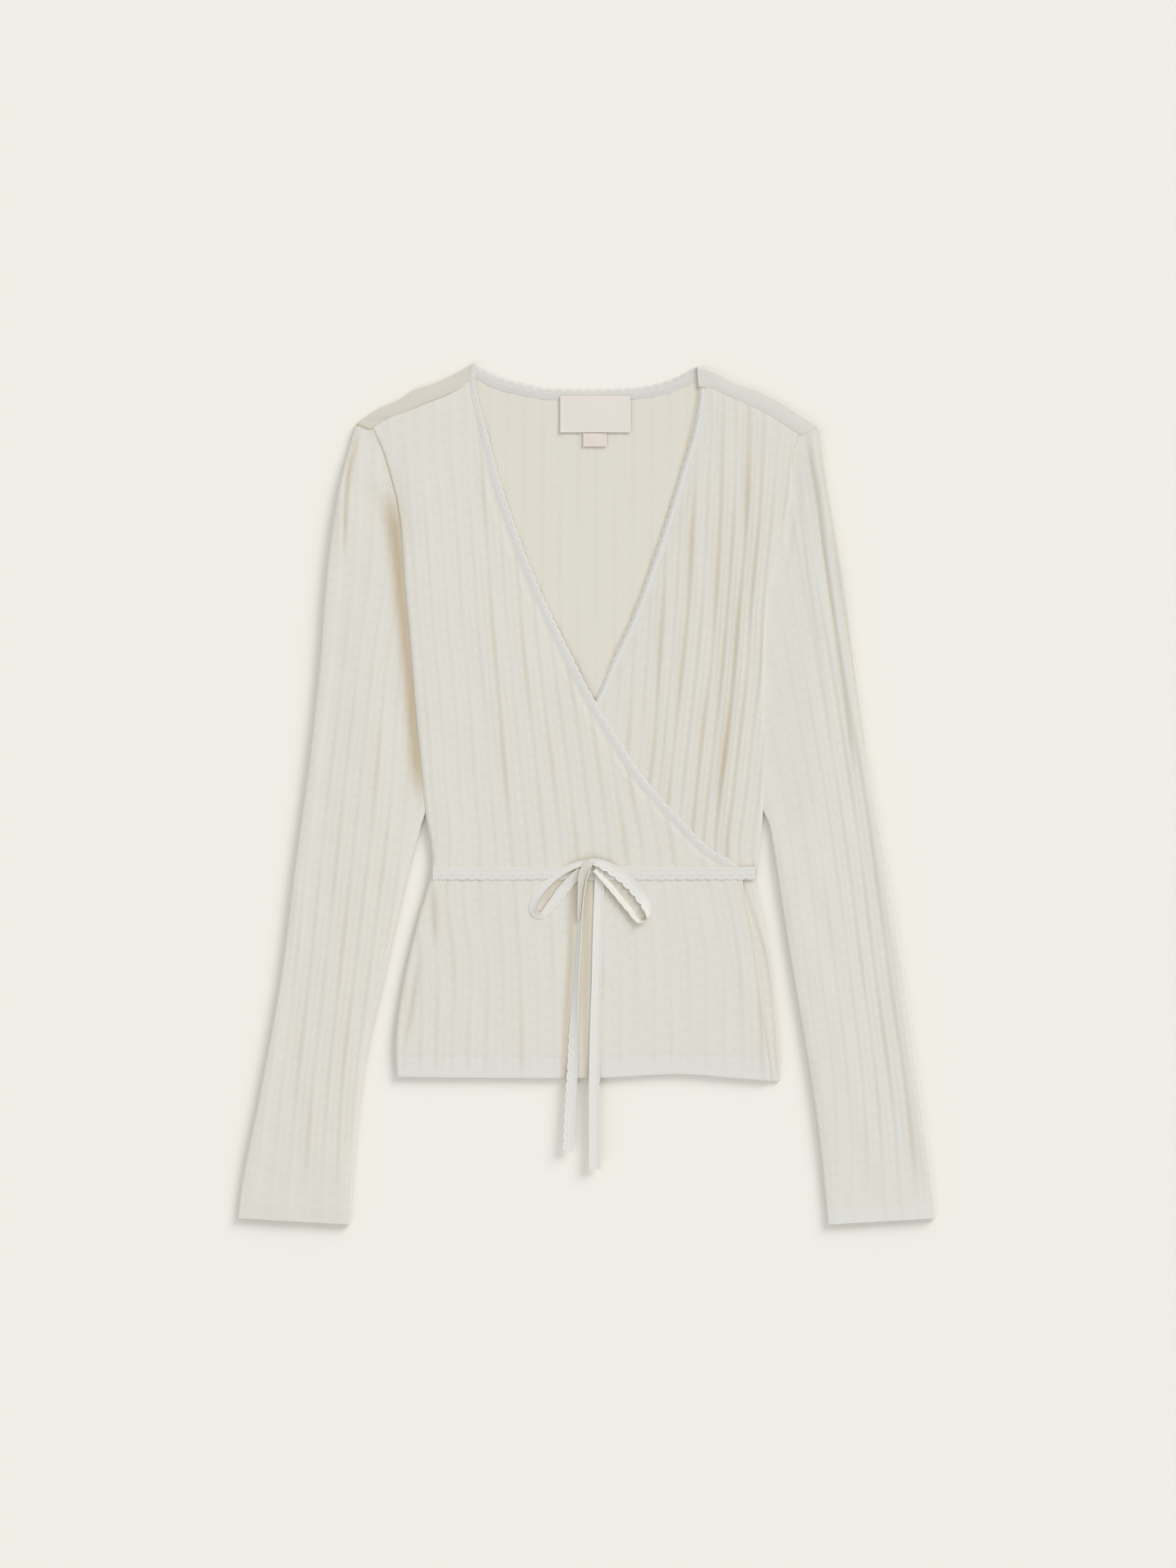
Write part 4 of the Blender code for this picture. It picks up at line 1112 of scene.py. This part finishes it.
class Value:
    """The output of a material's node: sums with it make more nodes."""

    def __init__(self, nodes, socket):
        self.nodes = nodes
        self.socket = socket

    def apply(self, operation, other=0.0, clamp=False):
        """The output of a math node for this value and another one."""
        return self.nodes.math(operation, self, other, clamp)

    def __add__(self, other):
        return self.apply("ADD", other)

    def __sub__(self, other):
        return self.apply("SUBTRACT", other)

    def __mul__(self, other):
        return self.apply("MULTIPLY", other)

    def fraction(self):
        return self.apply("FRACT")

    def size(self):
        return self.apply("ABSOLUTE")

    def bell(self, middle, width):
        """1 where the number is at middle, and falling off on both sides of it."""
        off = (self - middle).apply("DIVIDE", width)
        return (off * off * -1.0).apply("EXPONENT")

    def sine(self, length):
        """Sine wave of this length, from -1 to 1."""
        return (self * (2.0 * math.pi / length)).apply("SINE")

    def wave(self, length):
        """The same wave from 0 to 1."""
        return self.sine(length) * 0.5 + 0.5


class Nodes:
    """Short ways to add and join the shader nodes of one material."""

    def __init__(self, name):
        self.material = bpy.data.materials.new(name)
        self.material.use_nodes = True
        self.tree = self.material.node_tree

    def join(self, node, sockets):
        """Set plain values and colours on a node's own sockets, and link the other inputs."""
        for key, value in sockets.items():
            socket = node.inputs[key]
            value = getattr(value, "socket", value)
            if isinstance(value, bpy.types.NodeSocket):
                self.tree.links.new(value, socket)
            else:
                socket.default_value = (*value, 1.0) if socket.type == "RGBA" else value

    def add(self, kind, sockets, output=0, **settings):
        """The output of a new node with these inputs and settings."""
        node = self.tree.nodes.new(kind)
        for key, value in settings.items():
            setattr(node, key, value)
        self.join(node, sockets)
        return Value(self, node.outputs[output])

    def math(self, operation, first, second=0.0, clamp=False):
        return self.add("ShaderNodeMath", {0: first, 1: second}, operation=operation,
                        use_clamp=clamp)

    def mix(self, factor, first, second):
        """Mix two colours."""
        return self.add("ShaderNodeMix", {"Factor": factor, 6: first, 7: second}, 2,
                        data_type="RGBA")

    def places(self):
        """The two texture coordinates."""
        uv = self.add("ShaderNodeUVMap", {}, uv_map="knit")
        return [self.add("ShaderNodeSeparateXYZ", {0: uv}, axis) for axis in range(2)]

    def painted(self, name):
        """A value that the mesh holds at each of its points."""
        return self.add("ShaderNodeAttribute", {}, "Fac", attribute_name=name)

    def noise(self, scale, detail=2.0, lengthwise=1.0):
        """Noise in the object's own space."""
        place = self.add("ShaderNodeTexCoord", {}, "Object")
        mapped = self.add("ShaderNodeMapping", {0: place, "Scale": (1.0, lengthwise, 1.0)})
        sockets = {"Vector": mapped, "Scale": scale, "Detail": detail}
        return self.add("ShaderNodeTexNoise", sockets, "Fac")

    def shaded(self, colour, most=1.0):
        """Painted shade: darker in the hollows, and warmer where cloth close by shuts out the light.
        """
        colour = self.mix(self.painted("hollow").apply("MINIMUM", most), colour, KNIT_PAINTED_SHADE)
        near = self.add("ShaderNodeAmbientOcclusion", {"Distance": PAINTED_OCCLUSION_REACH}, "AO", samples=3)
        shut = self.math("SUBTRACT", 1.0, near).apply("MULTIPLY", PAINTED_OCCLUSION_SHARE, clamp=True)
        return self.mix(shut, colour, PAINTED_OCCLUSION_TONE)

    def finish(self, colour, height, roughness, sheen, bump_strength, bump_distance=0.0003):
        """Join colour and bump to the shader, and set its plain values."""
        bump = self.add("ShaderNodeBump", {
            "Height": height, "Strength": bump_strength, "Distance": bump_distance,
        })
        self.join(self.tree.nodes["Principled BSDF"], {
            "Base Color": colour, "Normal": bump, "Roughness": roughness,
            "Specular IOR Level": 0.15, "Sheen Weight": sheen, "Sheen Roughness": 0.5,
        })
        return self.material


# Painted shade where cloth close by shuts out the light: its warm tone, how near that cloth must be,
# in metres, and its largest share
PAINTED_OCCLUSION_TONE = (0.735, 0.640, 0.450)
PAINTED_OCCLUSION_REACH = 0.010
PAINTED_OCCLUSION_SHARE = 0.45
KNIT_CREAM = (0.738, 0.719, 0.652)
# Warmer cream of the back seen between the fronts: painted shade
KNIT_INSIDE = (0.737, 0.711, 0.628)
# Whiter cream of the left sleeve: painted light
KNIT_CREAM_LEFT = (0.743, 0.737, 0.674)
# Whiter half of each rib: partly the knit's own tone, partly painted light
KNIT_WHITE = (0.742, 0.742, 0.712)
KNIT_HEM = (0.742, 0.738, 0.706)
CUFF_RIGHT = (0.718, 0.698, 0.638)
PLAIN_WHITE = (0.720, 0.712, 0.672)
# Painted shade of rib valleys, creases, grooves and seams, and of the shadows listed with the
# creases
KNIT_PAINTED_SHADE = (0.500, 0.398, 0.255)
# Painted shade seen through the holes and between the wales, and the speckle of the plain knit
HOLE_TONE = (0.560, 0.510, 0.410)
TRIM_WHITE = (0.680, 0.674, 0.648)
# Lighter copy for the left neck trim: painted light
TRIM_WHITE_LEFT = (0.752, 0.745, 0.713)
TIE_WHITE = (0.732, 0.724, 0.678)
# Lighter copy for the bow's loops and hanging ends: painted light
TIE_WHITE_LOOSE = (0.775, 0.768, 0.728)
# Darker tone of bands and labels: painted shade in the picot dashes and fine lines, and the speckle
# of the yarn and the weave of the labels
TRIM_DEEP = (0.590, 0.560, 0.520)
LABEL_CREAM = (0.790, 0.735, 0.690)
LABEL_DARKER = (0.785, 0.700, 0.635)
FLOOR_TONE = (0.880, 0.858, 0.805)
WALE = 0.1              # width of a wale, as a share of a rib
STITCH = 1.0 / 7.0      # height of a stitch, as a share of the holes' pitch
BAND_STITCH = 1.25      # the same in a band, in mm
BAND_LINES = (1.5, 3.1)     # places of a band's two fine lines of painted shade, across it
BAND_LINE_WIDTH = 0.35
# Picot dashes of a band, with painted shade: shift along it and half width, in scallops, place
# across it and half width, in mm, and share of their full strength
BAND_DASHES = ((0.0, 0.20, 6.5, 0.55, 1.0), (0.5, 0.16, 6.0, 0.40, 0.6))
WARP, WEFT = 0.45, 0.35     # pitches of a label's threads
HOLE_COLUMN = 0.78      # where a rib's holes are, as a share of the rib
HOLE_BESIDE = 1.6       # from the middle of a diamond to its side holes
HOLE_ABOVE = 1.75       # and to its upper and lower holes
HOLE_SHARPNESS = 4.0
WHITE_COLUMN = 0.24     # where a rib is whitest
WHITE_WIDTH = 0.26


def knit_material(name, cream=KNIT_CREAM, hem_tone=KNIT_HEM, white_share=0.45,
                  hole_share=0.52):
    """Pointelle rib knit: fine wales, and a column of small holes in diamonds on each rib.

    white_share is how much whiter the plain half of a rib is, partly painted light, and
    hole_share how dark the painted shade in the holes is.
    """
    nodes = Nodes(name)
    rib, along = nodes.places()
    phase = rib.fraction()
    odd = rib.apply("FLOOR").size().apply("MODULO", 2.0)
    across_off = ((phase - HOLE_COLUMN) * RIB_PITCH).size()
    up_off = (((along + odd * 0.5).fraction() - 0.5) * HOLE_PITCH).size()
    beside, above = (
        ((dx * dx + dy * dy) * -HOLE_SHARPNESS).apply("EXPONENT")
        for dx, dy in ((across_off - HOLE_BESIDE, up_off), (across_off, up_off - HOLE_ABOVE))
    )
    ribbed = nodes.math("SUBTRACT", 1.0, nodes.painted("plain"))
    holes = beside.apply("ADD", above, clamp=True) * ribbed
    wale = rib.wave(WALE)
    cloud = nodes.noise(9.0, detail=3.0) + 0.45
    # The whiter half of each rib: partly the knit's own tone, partly painted light
    white = phase.bell(WHITE_COLUMN, WHITE_WIDTH) * cloud
    white = white.apply("MULTIPLY", white_share, clamp=True)
    colour = nodes.mix(white, cream, KNIT_WHITE)
    colour = nodes.mix(ribbed, hem_tone, colour)
    # Painted shade between the wales and seen through the holes
    colour = nodes.mix(wale * nodes.noise(420.0, lengthwise=0.4) * 0.10, colour, HOLE_TONE)
    colour = nodes.mix(holes * hole_share, colour, HOLE_TONE)
    height = wale * -0.35 - holes * 0.8 + along.wave(STITCH) * 0.12
    colour = nodes.shaded(colour, most=0.95)
    return nodes.finish(colour, height, roughness=0.9, sheen=0.35, bump_strength=0.35)


def plain_material():
    """Fine even knit without ribs or holes."""
    nodes = Nodes("plain_knit")
    speckle = nodes.noise(300.0)
    colour = nodes.mix(speckle * 0.10, PLAIN_WHITE, HOLE_TONE)
    height = nodes.places()[0].sine(WALE) * 0.1 + speckle
    colour = nodes.shaded(colour)
    return nodes.finish(colour, height, roughness=0.9, sheen=0.12, bump_strength=0.25)


def trim_material(name, tone, line_share, dash_share):
    """Knitted band: two fine ribs on the garment's side, and a row of picot dashes."""
    nodes = Nodes(name)
    across, along = nodes.places()
    pitch = along.apply("DIVIDE", SCALLOP_PITCH)
    strong, weak = (
        (pitch + shift).fraction().bell(0.5, length) * across.bell(place, width) * share
        for shift, length, place, width, share in BAND_DASHES
    )
    dash = strong + weak
    first, second = (across.bell(place, BAND_LINE_WIDTH) for place in BAND_LINES)
    lines = first + second
    # Painted shade in the picot dashes and along the fine lines
    colour = nodes.mix(dash * dash_share, tone, TRIM_DEEP)
    colour = nodes.mix(lines * line_share, colour, TRIM_DEEP)
    colour = nodes.mix(nodes.noise(520.0) * 0.12, colour, TRIM_DEEP)
    height = lines * -line_share - dash * 0.7 + along.wave(BAND_STITCH) * 0.12
    colour = nodes.shaded(colour)
    return nodes.finish(colour, height, roughness=0.85, sheen=0.12, bump_strength=0.4)


def label_material(name, tone):
    """Smooth woven tape with a fine even weave."""
    nodes = Nodes(name)
    across, up = nodes.places()
    weave = across.sine(WARP) * up.sine(WEFT) * 0.5 + 0.5
    colour = nodes.mix(weave * 0.08, tone, TRIM_DEEP)
    return nodes.finish(colour, weave, roughness=0.6, sheen=0.05, bump_strength=0.3,
                        bump_distance=0.0001)


def floor_material():
    """Plain pale matt surface."""
    nodes = Nodes("floor_surface")
    cloud = nodes.noise(3.0)
    colour = nodes.mix(cloud * 0.05, FLOOR_TONE, KNIT_CREAM)
    return nodes.finish(colour, cloud, roughness=0.95, sheen=0.0, bump_strength=0.02,
                        bump_distance=0.0001)


# ---- camera, light and floor

VIEW_CENTRE = (1.2, 8.4)        # point of the surface under the camera
VIEW_HEIGHT = 1200.0            # long side of what the camera sees of the surface
LENS = 85.0
SENSOR = 36.0
FLOOR_LEVEL = -0.3
FLOOR_HALF = 3000.0
FLOOR_THICKNESS = 2.0

# Lights: name, azimuth (0 is +X, 90 is +Y) and elevation in degrees, strength, spread, colour
SUNS = (
    ("key", 46.0, 30.0, 1.77, 32.0, (1.0, 0.985, 0.965)),
    ("fill", 226.0, 38.0, 0.46, 50.0, (1.0, 0.985, 0.965)),
    ("overhead", 0.0, 90.0, 0.30, 80.0, (1.0, 0.99, 0.97)),
)
SKY_TONE = (0.98, 0.99, 1.0, 1.0)
SKY_STRENGTH = 0.538


def make_camera():
    """A camera straight above the garment."""
    camera = bpy.data.cameras.new("camera")
    camera.lens = LENS
    camera.sensor_width = SENSOR
    holder = add_object("camera", camera)
    holder.location = Vector((*VIEW_CENTRE, VIEW_HEIGHT * LENS / SENSOR)) * MM
    bpy.context.scene.camera = holder


def make_lights():
    """A soft low key from the upper right, a weak fill across from it, a broad light above,
    and light from all round."""
    for name, azimuth, elevation, strength, spread, colour in SUNS:
        sun = bpy.data.lights.new(name, "SUN")
        sun.energy = strength
        sun.angle = math.radians(spread)
        sun.color = colour
        turn, climb = math.radians(azimuth), math.radians(elevation)
        direction = Vector((math.cos(climb) * math.cos(turn), math.cos(climb) * math.sin(turn),
                            math.sin(climb)))
        add_object(name, sun).rotation_euler = direction.to_track_quat("Z", "Y").to_euler()
    world = bpy.data.worlds.new("world")
    world.use_nodes = True
    background = world.node_tree.nodes["Background"]
    background.inputs["Color"].default_value = SKY_TONE
    background.inputs["Strength"].default_value = SKY_STRENGTH
    bpy.context.scene.world = world
    bpy.context.scene.view_settings.view_transform = "Standard"


def make_floor():
    """The pale surface that the garment lies on."""
    side = np.linspace(-FLOOR_HALF, FLOOR_HALF, 7)
    x, y = np.meshgrid(side, side)
    points = np.dstack((x, y, np.full_like(x, FLOOR_LEVEL - FLOOR_THICKNESS / 2)))
    floor = shell("floor", with_texture(points, x, y), floor_material(), FLOOR_THICKNESS)
    return floor


# ---- the cardigan

def make_panels(over, under):
    """Body, shoulder strips and sleeves, by the names of their nodes."""
    knit = knit_material("pointelle_knit")
    knit_right = knit_material("pointelle_knit_right", hem_tone=CUFF_RIGHT)
    # The left sleeve's whiter copy of the knit is painted light
    knit_left = knit_material("pointelle_knit_left", KNIT_CREAM_LEFT)
    knit_inside = knit_material("pointelle_knit_inside", KNIT_INSIDE, KNIT_HEM, 0.25, 0.20)
    plain = plain_material()
    sleeve_right = Sleeve(1, SLEEVE_RIGHT_OUTER, SLEEVE_RIGHT_INNER, STRIP_RIGHT,
                          SEAM_OVER_LEVEL, OVER_LEVEL)
    sleeve_left = Sleeve(2, SLEEVE_LEFT_OUTER, SLEEVE_LEFT_INNER, STRIP_LEFT,
                         UNDER_LEVEL, UNDER_LEVEL)
    over_ribs = Ribs(OVER_RIBS, OVER_DEPTHS, PEPLUM_DEPTHS)
    under_ribs = Ribs(UNDER_RIBS, UNDER_DEPTHS)
    right_ribs = Ribs(SLEEVE_RIGHT_RIBS, SLEEVE_RIGHT_DEPTHS, SLEEVE_RIGHT_LOWER_DEPTHS)
    left_ribs = Ribs(SLEEVE_LEFT_RIBS, SLEEVE_LEFT_DEPTHS, SLEEVE_LEFT_LOWER_DEPTHS)
    return (
        make_back("back", knit_inside),
        make_front("front_right", over, over_ribs, OVER_CREASES, knit, 11),
        make_front("front_left", under, under_ribs, UNDER_CREASES, knit, 12),
        make_strip("shoulder_right", STRIP_RIGHT, OVER_LEVEL, V_SAG, 0.25, 0.45,
                   STRIP_RIGHT_CREASES, plain),
        make_strip("shoulder_left", STRIP_LEFT, UNDER_LEVEL, 0.0, 0.04, 0.10, (), plain),
        make_sleeve("sleeve_right", sleeve_right, right_ribs, SLEEVE_RIGHT_CREASES, knit_right, 21),
        make_sleeve("sleeve_left", sleeve_left, left_ribs, SLEEVE_LEFT_CREASES, knit_left, 22),
    )


def make_bands(over):
    """Neckline trims and the tie, by the names of their nodes."""
    trim = trim_material("scallop_trim", TRIM_WHITE, 0.35, 0.80)
    trim_left = trim_material("scallop_trim_left", TRIM_WHITE_LEFT, 0.35, 0.80)
    tie = trim_material("scallop_tie", TIE_WHITE, 0.15, 0.50)
    loose = trim_material("scallop_tie_loose", TIE_WHITE_LOOSE, 0.15, 0.50)
    first_x, last_x = WAIST_BAND_ENDS
    middle_x = KNOT_X - SEAM / 2
    return (
        neck_band("trim_neck_right", (NECK_RIGHT_END, *NECK_RIGHT), OVER_LEVEL, V_SAG, 0.0,
                  trim, -1.0, 0.08, TRIM_DROOP),
        neck_band("trim_neck_left", NECK_LEFT, UNDER_LEVEL, 0.0, 1.2,
                  trim_left, 1.0, 0.2, LEFT_TRIM_DROOP),
        flat_band("trim_neck_back", Path(NECK_BACK),
                  np.full(BACK_TRIM_ROWS, BACK_LEVEL + BACK_TRIM_RISE), trim, 1.0),
        waist_band("tie_band_right", first_x, middle_x, over, tie),
        waist_band("tie_band_left", middle_x, last_x, over, tie),
        loose_band("tie_knot", KNOT, tie, 1.0, 0.0, 0.20),
        loose_band("bow_loop_right", LOOP_RIGHT, loose, -1.0, 0.7),
        loose_band("bow_loop_left", LOOP_LEFT, loose, -1.0, 1.1),
        loose_band("tie_end_right", END_RIGHT, loose, -1.0, 0.9),
        loose_band("tie_end_left", END_LEFT, loose, 1.0, 0.9),
    )


def make_labels():
    """Both labels, left bare."""
    return (
        make_label("label_main", LABEL_MAIN, label_material("woven_label", LABEL_CREAM)),
        make_label("label_size", LABEL_SIZE, label_material("woven_label_small", LABEL_DARKER)),
    )


def make_cardigan():
    """All pieces of the cardigan, by the names of the nodes that they stand for."""
    over = Front(1, NECK_RIGHT, STRIP_RIGHT, OVER_LEVEL, SEAM_OVER_LEVEL, V_SAG, (0.55, 190.0))
    under = Front(2, NECK_LEFT, STRIP_LEFT, UNDER_LEVEL, UNDER_LEVEL, 0.0, (0.35, 236.0))
    pieces = {}
    for slot, group in (("pointelle_knit", make_panels(over, under)),
                        ("scallop_trim", make_bands(over)),
                        ("woven_label", make_labels())):
        for piece in group:
            node = piece.name.removesuffix(CLOTH_NAME)
            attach(piece, "root")
            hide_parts(node)
            pieces[node] = piece
    return pieces


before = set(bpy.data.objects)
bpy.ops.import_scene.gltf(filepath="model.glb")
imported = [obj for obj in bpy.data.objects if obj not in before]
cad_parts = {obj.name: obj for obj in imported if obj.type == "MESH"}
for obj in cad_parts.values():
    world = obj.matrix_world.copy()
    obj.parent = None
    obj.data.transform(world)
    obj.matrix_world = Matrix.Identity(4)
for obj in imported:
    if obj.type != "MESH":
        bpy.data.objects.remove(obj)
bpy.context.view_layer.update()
make_camera()
make_lights()
floor = make_floor()
make_cardigan()
